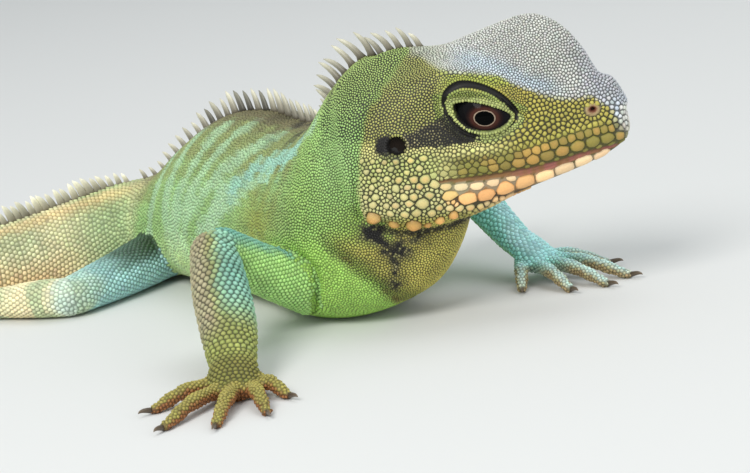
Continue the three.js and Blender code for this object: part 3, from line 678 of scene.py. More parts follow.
def sculpt_head(points: Array) -> Array:
    """Sinks and raises the skin of the head for eyes, ears, nostrils, mouth and folds.

    Args:
        points: the skin's corners in the head's frame.

    Returns:
        The corners moved aside.
    """
    x, aside, z = points[:, 0], np.abs(points[:, 1]), points[:, 2]
    near = step(3.0, 5.0, aside) * step(-12, -6, x)
    opening = EYE.opening(x, z)
    _, v = EYE.axes(x, z)
    ball = EYE.surface(x, z)
    flank = step(6.0, 8.5, aside)
    lid = np.maximum(ball + 0.5, aside - 1.1) + 0.2 * hill(opening - 1.12, 0.08)
    lidded = aside + (lid - aside) * (1 - step(1.35, 1.75, opening))
    socket = ball - 1.3
    moved = np.where(opening < 1.8, lidded + (socket - lidded) * (1 - step(0.9, 1.02, opening)), aside)
    groove = groove_share(x, z)
    moved = moved - 0.8 * (1 - step(0.35, 1.15, groove)) * (opening > 1.05)
    moved = moved + 0.3 * hill(groove - 2.2, 1.0) * (v > 0) * (opening > 1.9)
    moved = moved + 0.28 * hill(opening - 1.16, 0.12)
    moved = moved - 0.3 * hill(opening - 1.5, 0.06) * (v < 0)
    moved = np.where(flank > 0, aside + (moved - aside) * flank, aside)

    ear = ear_distance(x, z)
    pit = np.minimum(moved, EAR_FLOOR - 0.5)
    moved = moved + (pit - moved) * (1 - step(EAR_RADIUS - 0.5, EAR_RADIUS + 0.25, ear))
    moved = moved + 0.25 * hill(ear - EAR_RADIUS - 0.8, 0.6) * near

    nostril = nostril_share(x, z)
    moved = moved + near * (0.5 * hill(nostril - 0.6, 0.35) - 1.3 * (1 - step(0.15, 0.42, nostril)))

    above = z - mouth_height(x)
    along = step(MOUTH_CORNER - 1.5, MOUTH_CORNER + 2, x) * step(1.5, 3.0, aside)
    down = lip_share(x, z)
    inside = step(-0.15, 0.1, down) * (1 - step(0.9, 1.15, down))
    moved = moved - along * (0.28 * inside + 0.25 * hill(above - 0.02, 0.25))
    moved = moved + along * 0.22 * (hill(above - 2.0, 1.3) + hill(above + 3.2, 1.5))

    moved = moved + 0.5 * hill(line_distance(x, z, JAW_STEP) - 1.5, 1.4) * (x > -7)
    behind = head_edge(z) - x
    fold = step(24, 28, z) * step(66, 60, z)
    moved = moved - fold * (0.75 * hill(behind - 1.0, 1.1) - 0.3 * hill(behind + 1.2, 1.3))
    moved = moved - 0.7 * hill(line_distance(x, z, GULAR_CREASE), 0.8) * step(4, 8, aside)
    blunt = 0.55 * np.maximum(0, x - 54.0) * step(46, 43.5, z)
    return np.column_stack([x - blunt, np.sign(points[:, 1]) * moved, z])


# ---------------------------------------------------------------- skin


def smoothed(points: Array, edges: Array, rounds: int, amount: Array | float = 1.0,
             keep: bool = True) -> Array:
    """Evens out a mesh's corners along its edges.

    Args:
        points: the corners.
        edges: pairs of corner numbers.
        rounds: how many times.
        amount: how much of it each corner takes.
        keep: whether each round ends with a step back that keeps the volume.
    """
    points, count = points.copy(), np.bincount(edges.ravel(), minlength=len(points))[:, None]
    amount = np.broadcast_to(np.asarray(amount, float), len(points))[:, None]
    for _ in range(rounds):
        for factor in (0.5, -0.52) if keep else (0.5,):
            total = np.column_stack([
                np.bincount(edges[:, 0], points[edges[:, 1], k], len(points))
                + np.bincount(edges[:, 1], points[edges[:, 0], k], len(points)) for k in range(3)])
            points = points + factor * amount * (total / count - points)
    return points


def mesh_arrays(mesh: bpy.types.Mesh) -> tuple[Array, Array]:
    """A mesh's corners and edges."""
    points = np.empty(len(mesh.vertices) * 3, np.float32)
    mesh.vertices.foreach_get("co", points)
    edges = np.empty(len(mesh.edges) * 2, np.int32)
    mesh.edges.foreach_get("vertices", edges)
    return points.reshape(-1, 3).astype(float), edges.reshape(-1, 2)


# Folds pressed into the skin: places along each, how deep it is and how wide
FOLDS = (
    (((-17.4, -4.2, 18.2), (-15.6, -5.4, 16), (-15, -5.2, 13), (-15.2, -4, 10), (-16.2, -1.8, 6.4),
      (-17.4, 1, 3)), 2.3, 1.15),
    (((-32.6, 22.4, 21.9), (-28.7, 12.9, 21.7), (-25, 4.5, 21.2), (-21.4, -1.2, 20.5), (-17.4, -4.2, 18.2)),
     1.0, 1.0),
    (((-10.6, -9.6, 19.8), (-7.6, -9.4, 17.3), (-5.6, -9.2, 15.2), (-3.8, -9.1, 13.2), (-1.7, -8.6, 11),
      (0.8, -7.8, 8.6), (3, -5.5, 6)), 0.8, 1.4),
)


FOLD_WAY = np.array((0.2, 0.97, 0.0))  # the way that the folds press the skin in
# Where limbs meet the body: place, reach, and how strongly the seam is evened out
JOINS = ((-16, 4.5, 12, 9, 0.12), (5, 20, 15, 10, 0.5), (-53, 83, 9, 13, 0.8), (-47, 97, 12, 14, 0.8))


@dataclass
class Skin:
    """The one skin over all of the flesh, and the questions that the coat asks of it."""

    voxel: float = 0.8
    floor: float = 0.3  # how high the skin lies over the floor where the animal rests
    rounds: int = 14  # of smoothing everywhere
    seam_rounds: int = 30  # and where limbs and neck meet the body
    tubes: list[Tube] = field(default_factory=flesh_tubes)

    def __post_init__(self) -> None:
        """Joins the lofts, evens out their seams and shapes the head."""
        mesh = self._joined()
        points, edges = mesh_arrays(mesh)
        points = smoothed(points, edges, self.rounds)
        points = smoothed(points, edges, self.seam_rounds, self._seams(points), keep=False)
        for places, depth, reach in FOLDS:
            line = smooth_at(numbered(places), np.linspace(0, len(places) - 1, 50))
            near = np.flatnonzero(np.linalg.norm(points - line[25], axis=1) < 30)
            away = np.linalg.norm(points[near, None] - line, axis=2).min(axis=1)
            points[near] += FOLD_WAY * (depth * hill(away, reach))[:, None]
        points[:, 2] = np.maximum(points[:, 2], self.floor)
        set_points(mesh, points)
        self._refine_head(mesh)
        points, edges = mesh_arrays(mesh)
        local = to_head(points)
        in_head = (local[:, 0] > -9) & (points[:, 2] > 16)
        points[in_head] = from_head(sculpt_head(local[in_head]))
        points = smoothed(points, edges, 1, in_head * 0.6, keep=False)
        set_points(mesh, points)
        mesh.update()
        self.mesh, self.points = mesh, points
        normals = np.empty(len(points) * 3, np.float32)
        mesh.vertex_normals.foreach_get("vector", normals)
        self.normals = normals.reshape(-1, 3).astype(float)
        mesh.calc_loop_triangles()
        corners = np.empty(len(mesh.loop_triangles) * 3, np.int32)
        mesh.loop_triangles.foreach_get("vertices", corners)
        self.triangles = corners.reshape(-1, 3)
        self.tree = BVHTree.FromPolygons(points.tolist(), self.triangles.tolist())
        self._make_charts()

    def _joined(self) -> bpy.types.Mesh:
        """All the lofts as one mesh without inner walls."""
        points, faces = joined_meshes([tube.mesh() for tube in self.tubes])
        raw = add_object("flesh", make_mesh("flesh", points, faces, finished=False))
        remesh = raw.modifiers.new("join", "REMESH")
        remesh.mode, remesh.voxel_size = "VOXEL", self.voxel
        depsgraph = bpy.context.evaluated_depsgraph_get()
        joined = bpy.data.meshes.new_from_object(raw.evaluated_get(depsgraph))
        bpy.data.objects.remove(raw)
        return joined

    def _seams(self, points: Array) -> Array:
        """How strongly the places where limbs and neck meet the body are evened out."""
        share = np.zeros(len(points))
        for x, y, z, reach, strength in JOINS:
            away = np.linalg.norm(points - (x, y, z), axis=1)
            share = np.maximum(share, strength * (1 - step(reach * 0.6, reach * 1.3, away)))
        local = to_head(points)
        nape = hill(local[:, 0] + 6.5, 3.0) * step(46, 52, local[:, 2])
        return np.maximum(share, nape * 0.9)

    def _refine_head(self, mesh: bpy.types.Mesh) -> None:
        """Doubles the skin's fineness over the head."""
        work = bmesh.new()
        work.from_mesh(mesh)
        local = to_head(np.array([v.co for v in work.verts]))
        inside = (local[:, 0] > -7.5) & (local[:, 2] > 21)
        chosen = [e for e in work.edges if inside[e.verts[0].index] and inside[e.verts[1].index]]
        bmesh.ops.subdivide_edges(work, edges=chosen, cuts=1, use_grid_fill=True)
        bmesh.ops.triangulate(work, faces=[f for f in work.faces if len(f.verts) > 4])
        work.to_mesh(mesh)
        work.free()

    def _make_charts(self) -> None:
        """Notes for places all over the lofts which one they are on, where, and which way its scales lie."""
        parts, self.girth = [], []
        for number, tube in enumerate(self.tubes):
            t = np.linspace(tube.start, tube.stop, tube.stations * 2)
            rings = tube.rings(t, tube.around)
            ways = unit(np.gradient(rings, axis=0))
            middle = rings[len(t) // 3]
            self.girth.append(float(np.linalg.norm(middle - np.roll(middle, 1, axis=0), axis=1).sum()))
            parts.append((
                np.full(len(t) * tube.around, number), rings.reshape(-1, 3), np.repeat(t, tube.around),
                np.tile(np.arange(tube.around) / tube.around, len(t)), ways.reshape(-1, 3)))
        self.chart, place, self.chart_along, self.chart_around, self.chart_lie = (
            np.concatenate(part) for part in zip(*parts))
        self.chart_tree, self.corner_tree = tree_of(place), tree_of(self.points)

    def charted(self, points: Array) -> Array:
        """The number of the loft place nearest to each point."""
        return np.array([self.chart_tree.find(p)[1] for p in points.tolist()])

    def settle(self, points: Array) -> Array:
        """Points brought onto the skin."""
        return np.array([tuple(self.tree.find_nearest(p)[0]) for p in points.tolist()])

    def normals_at(self, points: Array) -> Array:
        """Smooth normals of the skin near points."""
        nearest = np.array([[hit[1] for hit in self.corner_tree.find_n(p, 4)] for p in points.tolist()])
        return unit(self.normals[nearest].sum(axis=1))

    def spread(self, per_mm2: float, random: np.random.Generator, keep: Array | None = None) -> Array:
        """Random places on the skin, so many to a square millimetre, on the triangles in keep."""
        triangles = self.triangles if keep is None else self.triangles[keep]
        a, b, c = (self.points[triangles[:, k]] for k in range(3))
        areas = np.linalg.norm(np.cross(b - a, c - a), axis=1) / 2
        chosen = random.choice(len(areas), int(areas.sum() * per_mm2), p=areas / areas.sum())
        f, g = np.sqrt(random.random(len(chosen)))[:, None], random.random(len(chosen))[:, None]
        return (1 - f) * a[chosen] + f * (1 - g) * b[chosen] + f * g * c[chosen]

    def from_side(self, x: Array, z: Array, side: int) -> Array:
        """Where lines from one side of the head meet the skin, at places forward and up."""
        starts = from_head(np.column_stack([x, np.full(len(x), side * 23.0), z]))
        way = Vector(from_head(np.array([0.0, -side, 0.0]), turn_only=True))
        hits = [self.tree.ray_cast(Vector(start), way)[:2] for start in starts.tolist()]
        return np.array([tuple(hit) if hit and turn.dot(way) < 0 else (np.nan,) * 3 for hit, turn in hits])


# ---------------------------------------------------------------- markings


class Tone(Enum):
    """Colours of the living lizard, and a few painted highlights and shadows, as 0xRRGGBB."""

    CROWN = 0xCED0C8
    CROWN_FRONT = 0xC0C3C8
    CROWN_REAR = 0xA6AC94
    # a painted highlight, pale blue
    LID_BLUE = 0xC8D8E2
    BROW = 0xB0BC54
    LID = 0x97A555
    LID_RIM = 0xB2BC72
    LABIAL_CORE = 0xC99A50
    TEMPLE = 0xAEAE62
    NAPE = 0xAABE70
    LORE = 0xB3AA50
    CHEEK = 0xDAD68C
    LABIAL = 0xD09E54
    LABIAL_FRONT = 0x7E7A36
    LIP = 0x8C6234
    LIP_FRONT = 0xA6625A
    LOWER_LABIAL = 0xF6DCB0
    CHIN_PLATE = 0xF9C07C
    JOWL = 0xD6D096
    JOWL_GREEN = 0xB6BC74
    JOWL_ORANGE = 0xEDB670
    CONE = 0xF2B066
    BLACK = 0x0F0C09
    WEDGE_DOT = 0x9A9468
    # the pale rostral shield, lightened further as a painted highlight
    ROSTRAL = 0xE9E6DA
    NOSTRIL = 0xAA9468
    NOSTRIL_HOLE = 0x73402E
    NECK = 0x9CC468
    NECK_PALE = 0xA8CE84
    NECK_OLIVE = 0x788238
    THROAT = 0xBDB55A
    THROAT_DARK = 0x55502A
    THROAT_EDGE = 0xE2B27A
    FOLD_BROWN = 0x6E5C2C
    CHEST = 0xA8D466
    TRUNK = 0x97BD78
    TRUNK_OLIVE = 0x98A24C
    TRUNK_GREY = 0x8E9058
    BAND = 0xACD0A4
    BAND_AQUA = 0x9FD2BE
    BELLY = 0xB9CC93
    ARM_TEAL = 0x6EA898
    ARM_GREEN = 0xB0DE84
    FOREARM_CREAM = 0xADA683
    FOREARM_TEAL = 0x96CCB4
    FOREARM_OLIVE = 0x9EA65A
    HAND_OLIVE = 0x86843E
    DIGIT_OLIVE = 0xA69C50
    DIGIT_ORANGE = 0x9A5A34
    AQUA = 0x9CECE2
    # a painted highlight, pale aqua
    AQUA_PALE = 0xC8FBFF
    # a painted highlight, pale
    DIGIT_PALE = 0xD4E2CC
    THIGH_TEAL = 0xB6E6E4
    ROOT_GREEN = 0x86A25E
    # painted shadow
    THIGH_DARK = 0x34502C
    CREST_SKIN = 0x6E6448
    TAIL_GREEN = 0xCAD4A8
    TAIL_CREAM = 0xFFF0C2
    TAIL_LOW = 0xF6CF94
    TAIL_BROWN = 0x7E6B45
    TAIL_OLIVE = 0x7C8B4E

    @property
    def linear(self) -> Array:
        """The colour as linear light."""
        value = np.array([self.value >> 16 & 255, self.value >> 8 & 255, self.value & 255]) / 255
        return np.where(value <= 0.04045, value / 12.92, ((value + 0.055) / 1.055) ** 2.4)


# The pale bands of the trunk: rows of the spine, and shares of the way round from the back
BANDS = (
    (Tone.BAND, 0.16, ((3.3, 0.09), (4.1, 0.1), (4.5, 0.125), (5.1, 0.167), (5.7, 0.22), (6.2, 0.29))),
    (Tone.BAND, 0.22, ((5.2, 0.145), (5.45, 0.18), (5.8, 0.23), (6.4, 0.3))),
    (Tone.BAND_AQUA, 0.22, ((3.8, 0.1), (4.6, 0.115), (5.1, 0.133), (5.3, 0.16))),
    (Tone.BAND, 0.2, ((5.0, 0.055), (5.4, 0.104), (5.9, 0.167), (6.3, 0.22), (6.6, 0.29))),
    (Tone.BAND, 0.2, ((5.9, 0.05), (6.05, 0.11), (6.2, 0.15), (6.5, 0.21), (6.8, 0.28))),
    (Tone.BAND, 0.2, ((6.5, 0.06), (6.55, 0.14), (6.7, 0.2), (6.9, 0.28))),
    (Tone.BAND, 0.24, ((7.2, 0.07), (7.15, 0.18), (7.0, 0.25), (7.1, 0.33))),
    (Tone.BAND, 0.24, ((7.9, 0.08), (8.0, 0.2), (8.1, 0.3))),
)
TURN_ROWS = 7.6  # the way round the trunk, in the spine's rows
# Places along the fold in front of the shoulder, where the trunk gets painted shade
FOLD_SHADE = smooth_at(numbered(FOLDS[0][0]), np.linspace(0.4, 5, 14))

# The fold that divides the chest from the throat: heights, places forward
CHEST_FOLD = ((5, -2.0), (8.6, -4.8), (11, -7.1), (13.2, -9.2), (15.2, -11), (17.3, -12.9), (20, -15.9),
              (26, -20))

# How low the silver of the crown reaches, along the head
SILVER_EDGE = ((6, 64.5), (9.3, 62.6), (11.5, 60.8), (14.5, 59.5), (19.8, 58.7), (24, 57.5), (28, 56.0),
               (31.9, 53.4), (33.7, 52.2), (39, 50.2), (45, 48.6), (48, 48.2), (50.5, 46.3), (52.5, 44.6),
               (53.8, 42), (55, 40.5))

# The throat's black streaks: places along each, and half its width
THROAT_STREAKS = (
    (((-6.4, 23), (-2.2, 19.4), (0.2, 20.4), (4.5, 20.9)), 0.6),
    (((-2.2, 18.9), (0.4, 18.5)), 1.2),
    (((-1.2, 18), (-2.0, 13)), 0.3),
    (((-2.0, 13), (-2.6, 8.5)), -0.1),
    (((17, 23.4), (21, 20.5)), 0.0),
)

WEDGE_TOP = ((-2, 46.2), (1.5, 46.8), (7, 46.8), (11.2, 48.3), (16, 49.2), (21, 45))
# How high the back is, by row of the spine
BACK_HEIGHT = ((0, 58), (1, 60), (2, 63.2), (3, 56.8), (4, 47.8), (5, 44.6), (6, 45.4), (7, 43.2), (8, 35.6),
               (9, 26.2), (10, 23.9), (11, 21), (12, 19), (14, 17), (17, 15), (21, 12), (26, 9), (31, 6.2),
               (38, 3.4), (46, 1.5))
LIMB_GROUNDS = {
    "upper_arm": Tone.ARM_GREEN, "forearm": Tone.FOREARM_OLIVE, "hand": Tone.HAND_OLIVE,
    "thigh": Tone.THIGH_TEAL, "shank": Tone.TAIL_GREEN, "foot": Tone.TAIL_GREEN,
}


class Paint:
    """A coat of colour for each place, laid on by masks."""

    def __init__(self, count: int, ground: Tone) -> None:
        """Covers everything with the ground tone."""
        self.colour = np.tile(ground.linear, (count, 1))

    def lay(self, tone: Tone, mask: Array) -> None:
        """Covers the mask's share of each place with a tone."""
        self.colour += (tone.linear - self.colour) * np.clip(mask, 0, 1)[:, None]


class Markings:
    """The pattern of the whole animal, for scales and skin alike."""

    def __init__(self, tubes: list[Tube]) -> None:
        """Keeps the lofts' names and draws the fields that make edges irregular."""
        self.names = [tube.name for tube in tubes]
        self.drift, self.blotch = Drift(SEED), Drift(SEED + 1)

    def at(self, points: Array, normals: Array, chart: Array, along: Array, crest_line: Array) -> Array:
        """The colour of each place.

        Args:
            points: places in the tables' frame.
            normals: the skin's normals there.
            chart: the number of the loft that each is on.
            along: how far along that loft.
            crest_line: how far each is from the middle of the back, as a share of the way round.
        """
        colour = np.zeros((len(points), 3))
        names = np.array(self.names)[chart]
        for name in np.unique(names):
            chosen = names == name
            if name == "head":
                colour[chosen] = self.head(points[chosen])
            elif name == "body":
                colour[chosen] = self.body(points[chosen], along[chosen], crest_line[chosen])
            elif name[-1].isdigit():
                colour[chosen] = self.digit(name, points[chosen], normals[chosen], along[chosen])
            else:
                colour[chosen] = self.limb(name, points[chosen], normals[chosen], along[chosen])
        mottle = 1 + 0.07 * self.blotch.at(points, 5.0) + 0.05 * self.drift.at(points, 1.6)
        return np.clip(colour * mottle[:, None], 0.002, 0.95)

    def nape(self, paint: Paint, points: Array, local: Array) -> None:
        """The neck's greens: paler and greyer at the height of the ear, olive towards the throat."""
        x, z = local[:, 0], local[:, 2]
        wave = self.drift.at(points, 12)
        paint.lay(Tone.NAPE, step(46, 58, z + 2 * wave) * 0.75)
        paint.lay(Tone.NECK_PALE, hill(z - 40 - 2 * wave, 11) * hill(x + 11, 9) * 0.85)
        paint.lay(Tone.NECK_OLIVE, step(35, 22, z + 2 * wave) * step(-20, -7, x) * 0.9)

    def throat(self, paint: Paint, points: Array, local: Array) -> None:
        """The throat's olive, its black patches, painted shade along the crease under the jaw, and its pale
        front.
        """
        x, z = local[:, 0], local[:, 2]
        near = step(23, 19, np.abs(local[:, 1]))
        wave, grain = self.drift.at(points, 4), self.blotch.at(points, 1.1)
        past_fold = x - curve_at(CHEST_FOLD, z) + 0.8 * wave
        low = near * step(26, 18, z)
        paint.lay(Tone.CHEST, low * step(-0.3, -2.5, past_fold) * step(-36, -29, x))
        pouch = np.maximum(step(29, 24, z) * step(-5, 2, x + wave), low * step(0.0, 4.5, past_fold))
        paint.lay(Tone.THROAT, near * pouch)
        paint.lay(Tone.NECK_OLIVE, low * hill(past_fold - 2.5, 3.5) * 0.8)
        broken = step(-0.4, 0.5, self.blotch.at(points, 3.0))
        paint.lay(Tone.FOLD_BROWN, low * hill(past_fold - 0.6, 1.5) * broken * 0.7)
        front = step(11, 17, x - 0.45 * (z - 14) + wave) * step(30, 25, z)
        paint.lay(Tone.THROAT_EDGE, front * (0.45 + 0.5 * step(-0.2, 0.7, self.blotch.at(points, 2.2))))
        away = np.hypot(x + 6.4, z - 23.4) - 1.8
        for places, wide in THROAT_STREAKS:
            away = np.minimum(away, line_distance(x, z, places) - wide)
        paint.lay(Tone.THROAT_DARK, near * (1 - step(0.5, 4.0, away + 1.0 * wave)) * (z < 26) * 0.5)
        black = 1 - step(-0.2, 1.5, away + 0.7 * wave + 0.5 * grain)
        # painted shade: black along the crease under the jaw
        black = np.maximum(black, 0.85 * (1 - step(0.4, 1.2, line_distance(x, z, GULAR_CREASE))))
        black = near * black * (z < 27)
        paint.lay(Tone.WEDGE_DOT, black * 0.7)
        paint.lay(Tone.BLACK, black * (1 - 0.75 * step(0.1, 0.7, self.blotch.at(points, 0.6))))

    def head(self, points: Array) -> Array:
        """Silver crown, yellow-green sides, black eye stripe, orange lips and jowls, with painted highlights
        on the brow and the snout.
        """
        local = to_head(points)
        x, aside, z = local[:, 0], np.abs(local[:, 1]), local[:, 2]
        wave = self.drift.at(points, 3.5)
        above = z - mouth_height(x)
        paint = Paint(len(points), Tone.LORE)
        paint.lay(Tone.CHEEK, step(32, 20, x) * step(16, 6, above))
        paint.lay(Tone.LABIAL_FRONT, step(6.0, 4.0, above) * step(10, 18, x))
        warm = step(5.2, 3.4, above + wave) * hill(x - 27, 9) * step(0.2, 1.4, above)
        warm = warm * step(-0.5, 0.4, self.blotch.at(points, 3.0))
        paint.lay(Tone.LABIAL, warm * (0.45 + 0.55 * step(28, 34, x)))
        paint.lay(Tone.TEMPLE, step(43.5, 46, z) * step(28, 17, x + wave))
        edge = z - curve_at(SILVER_EDGE, x)
        soft = 0.7 + 1.6 * step(14, 5, x)
        silver = step(-soft, soft, edge + 0.5 * wave) * step(1.5, 9, x + 1.5 * wave)
        paint.lay(Tone.NAPE, step(53, 60, z) * step(12, 2, x + wave) * 0.5)
        paint.lay(Tone.BROW, step(53, 55.5, z) * step(12, 18, x) * step(38, 30, x) * 0.85)
        paint.lay(Tone.CROWN, silver)
        paint.lay(Tone.CROWN_REAR, silver * step(20, 8, x + wave) * 0.8)
        paint.lay(Tone.CROWN_FRONT, silver * step(42, 50, x))
        # painted highlights: pale blue over the ridge above the eye and on the tip of the snout
        paint.lay(Tone.LID_BLUE, silver * hill(edge - 2.0, 2.0) * step(14, 22, x) * step(44, 36, x) * 0.9)
        paint.lay(Tone.LID_BLUE, hill(z - 44.5, 2.6) * step(51.5, 53.5, x) * 0.8)
        # the pale rostral shield, with a painted highlight on the snout's tip
        paint.lay(Tone.ROSTRAL, step(53.3, 54.6, x) * step(37.5, 40, z) * step(47, 44, z) * 0.8)
        opening, groove = EYE.opening(x, z), groove_share(x, z)
        paint.lay(Tone.LID, (1 - step(1.9, 2.1, opening)) * (aside > 7) * (groove < 9) * step(46, 49, z))
        paint.lay(Tone.BLACK, (1 - step(0.95, 1.2, groove)) * (aside > FLANK))
        ear = np.hypot((x - 1.2) / 3.7, (z - 43.7) / 2.9) + 0.12 * wave + 0.1 * self.blotch.at(points, 1.5)
        paint.lay(Tone.BLACK, (1 - step(0.85, 1.1, ear)) * (aside > FLANK))
        paint.lay(Tone.WEDGE_DOT, self.wedge(x, z, wave) * (aside > FLANK) * (x > 4.5))
        paint.lay(Tone.LID_RIM, (1 - step(1.45, 1.55, opening)) * (aside > 7) * step(0.95, 1.2, groove))
        below = step(0.2, -0.6, above) * step(9, 13, x)
        paint.lay(Tone.LOWER_LABIAL, below)
        chin = step(-2.5, -3.1, above) * step(-6.6, -5.8, above)
        paint.lay(Tone.CHIN_PLATE, below * chin * step(40, 35, x))
        paint.lay(Tone.JOWL, below * step(-6.0, -7.0, above) * 0.7)
        jowl = step(15, 10, x) * step(43, 40.5, z)
        paint.lay(Tone.JOWL_GREEN, jowl * 0.9)
        paint.lay(Tone.JOWL, jowl * step(38, 33, z + wave) * 0.6)
        paint.lay(Tone.NECK_OLIVE, step(28.5, 26, z) * step(26, 20, x) * 0.6)
        self.throat(paint, points, local)
        away = step(0.8, -0.8, x - head_edge(z) + 0.5 * wave) * step(24, 28, z)
        green = Paint(len(points), Tone.NECK)
        self.nape(green, points, local)
        paint.colour += (green.colour - paint.colour) * away[:, None]
        return paint.colour

    @staticmethod
    def wedge(x: Array, z: Array, wave: Array | float = 0.0) -> Array:
        """The black stripe that widens from the ear to the eye."""
        f = np.clip((x - EAR_CENTRE[0]) / (20.9 - EAR_CENTRE[0]), 0, 1)
        top = curve_at(WEDGE_TOP, x)
        bottom = 43.0 - 0.8 * f
        inside = step(-0.2, 0.6, top - z + 0.4 * wave) * step(-0.2, 0.6, z - bottom + 0.3 * wave)
        return inside * step(-2.2, -1.2, x) * (1 - step(20.5, 22.5, x))

    def body(self, points: Array, along: Array, crest_line: Array) -> Array:
        """Greens with pale slanting bands on the trunk and cream bands along the tail, with painted light on
        the lower trunk and painted shade along the shoulder's fold.
        """
        local = to_head(points)
        wave, fine = self.drift.at(points, 14), self.drift.at(points, 4)
        level = np.clip(points[:, 2] / np.maximum(curve_at(BACK_HEIGHT, along), 1), 0, 1)
        paint = Paint(len(points), Tone.NECK)
        trunk = step(3.3, 4.1, along)
        self.nape(paint, points, local)
        paint.lay(Tone.CHEST, step(0.55, 0.35, level) * step(3.4, 2.2, along) * step(4, -2, local[:, 0]))
        paint.lay(Tone.TRUNK, trunk)
        olive = hill(along - 4.4 - 0.1 * wave, 0.55) * hill(crest_line - 0.205 + 0.01 * fine, 0.045)
        paint.lay(Tone.TRUNK_OLIVE, olive * 0.95)
        paint.lay(Tone.TRUNK_GREY, trunk * step(0.6, 0.92, level + 0.06 * fine) * step(10, 9, along) * 0.75)
        for tone, wide, band in BANDS:
            away = line_distance(along, crest_line * TURN_ROWS, [(t, a * TURN_ROWS) for t, a in band])
            paint.lay(tone, (1 - step(wide * 0.2, wide, away + 0.05 * fine + 0.03 * wave)) * 0.85)
        crest = step(0.075, 0.03, crest_line + 0.012 * fine) * step(1.5, 4.0, along) * step(11, 9.5, along)
        paint.lay(Tone.CREST_SKIN, crest * 0.85)
        dark = step(0.11, 0.05, crest_line) * step(-0.2, 0.7, self.blotch.at(points, 5.0))
        paint.lay(Tone.BLACK, dark * hill(along - 4.6, 1.3) * 0.75)
        paint.lay(Tone.BELLY, step(0.16, 0.04, level) * step(3.0, 4.0, along))
        tail = step(8.6, 10.2, along)
        paint.lay(Tone.TAIL_GREEN, tail)
        rings = 0.5 + 0.5 * np.cos(math.tau * (along - 11.3 + 0.12 * wave) / 2.15)
        cream = tail * step(0.45, 1.0, rings + 0.12 * fine)
        paint.lay(Tone.TAIL_CREAM, cream * (0.45 + 0.3 * step(13, 17, along)))
        low = step(0.95, 0.35, level + 0.08 * wave) * step(9.8, 11.8, along) * step(18, 14, along)
        paint.lay(Tone.TAIL_CREAM, low * 0.75)
        paint.lay(Tone.TRUNK, tail * step(11.9, 10.0, along + 0.15 * wave) * 0.5)
        low = step(0.62, 0.2, level + 0.06 * wave) * step(10.4, 12, along) * step(17, 13, along)
        paint.lay(Tone.TAIL_LOW, low * 0.7)
        # painted light: belly tone laid up the lower flank behind the elbow to lift its shade
        paint.lay(Tone.BELLY, step(0.5, 0.2, level) * hill(along - 7.0, 1.0) * 0.7)
        paint.lay(Tone.TAIL_LOW, tail * step(18, 13, along) * hill(crest_line - 0.065, 0.04) * 0.55)
        far = step(18, 26, along)
        paint.lay(Tone.TAIL_OLIVE, far * 0.8)
        paint.lay(Tone.TAIL_BROWN, far * step(0.45, 0.7, rings) * 0.95)
        paint.lay(Tone.TAIL_CREAM, far * step(0.28, 0.1, rings) * step(36, 26, along) * 0.55)
        # painted light: the lower trunk is lightened against the shade that falls there
        paint.colour *= (1 + 0.3 * trunk * step(9.5, 8.5, along) * step(0.5, 0.2, level))[:, None]
        self.throat(paint, points, local)
        # painted shade along the fold in front of the shoulder
        crease = np.linalg.norm(points[:, None] - FOLD_SHADE, axis=2).min(axis=1)
        paint.colour *= (1 - 0.5 * hill(crease, 1.1))[:, None]
        return paint.colour

    def limb(self, name: str, points: Array, normals: Array, along: Array) -> Array:
        """The limbs' teals and greens, with painted shadow on the thighs and painted highlights on the left
        arm.
        """
        fine = self.drift.at(points, 5)
        kind, side = name.rsplit("_", 1)
        up, rearward = normals[:, 2], -normals[:, 0]
        arm = kind in ("upper_arm", "forearm", "hand")
        paint = Paint(len(points), Tone.AQUA if arm and side == "left" else LIMB_GROUNDS[kind])
        if arm and side == "left":
            # painted highlight on the upward faces of the left arm
            paint.lay(Tone.AQUA_PALE, step(0.1 if kind == "hand" else 0.5, 0.9, up + 0.15 * fine) * 0.85)
            paint.lay(Tone.ARM_GREEN, step(-0.1, -0.6, up) * 0.6)
            if kind == "upper_arm":
                paint.lay(Tone.ROOT_GREEN, step(1.15, 0.35, along + 0.25 * fine) * 0.95)
        elif kind == "upper_arm":
            paint.lay(Tone.ARM_TEAL, step(0.45, 0.9, up + 0.12 * fine) * 0.9)
            paint.lay(Tone.ARM_TEAL, step(1.2, 1.9, along) * step(0.1, 0.6, up) * 0.8)
        elif kind == "forearm":
            front = step(0.4, -0.4, rearward + 0.2 * fine)
            paint.lay(Tone.FOREARM_TEAL, front * step(2.6, 1.4, along) * 0.95)
            paint.lay(Tone.ARM_TEAL, step(0.0, -0.5, rearward) * hill(along - 0.9, 0.5) * 0.6)
            paint.lay(Tone.FOREARM_CREAM, step(0.0, 0.5, rearward + 0.1 * fine) * step(2.9, 2.0, along))
        elif kind == "hand":
            paint.lay(Tone.FOREARM_OLIVE, step(0.8, 0, along) * 0.7)
        elif kind == "thigh":
            # painted shadow at the thigh's root and on its upper side, under the tail
            paint.lay(Tone.THIGH_DARK, step(1.3, 0.4, along + 0.2 * fine) * step(-0.2, 0.5, up) * 0.95)
            paint.lay(Tone.THIGH_DARK, step(0.2, 0.75, up + 0.1 * fine) * step(2.0, 0.9, along) * 0.85)
            paint.lay(Tone.TAIL_GREEN, step(1.6, 2.2, along + 0.1 * fine) * 0.8)
            if side == "left":
                paint.lay(Tone.ROOT_GREEN, step(1.0, 0.35, along + 0.25 * fine) * 0.9)
        else:
            paint.lay(Tone.TAIL_CREAM, step(-0.2, 0.6, np.cos(along * 4.2 + fine)) * 0.8)
            if kind == "shank":
                paint.lay(Tone.THIGH_TEAL, step(0.5, 0, along + 0.12 * fine) * 0.6)
        return paint.colour

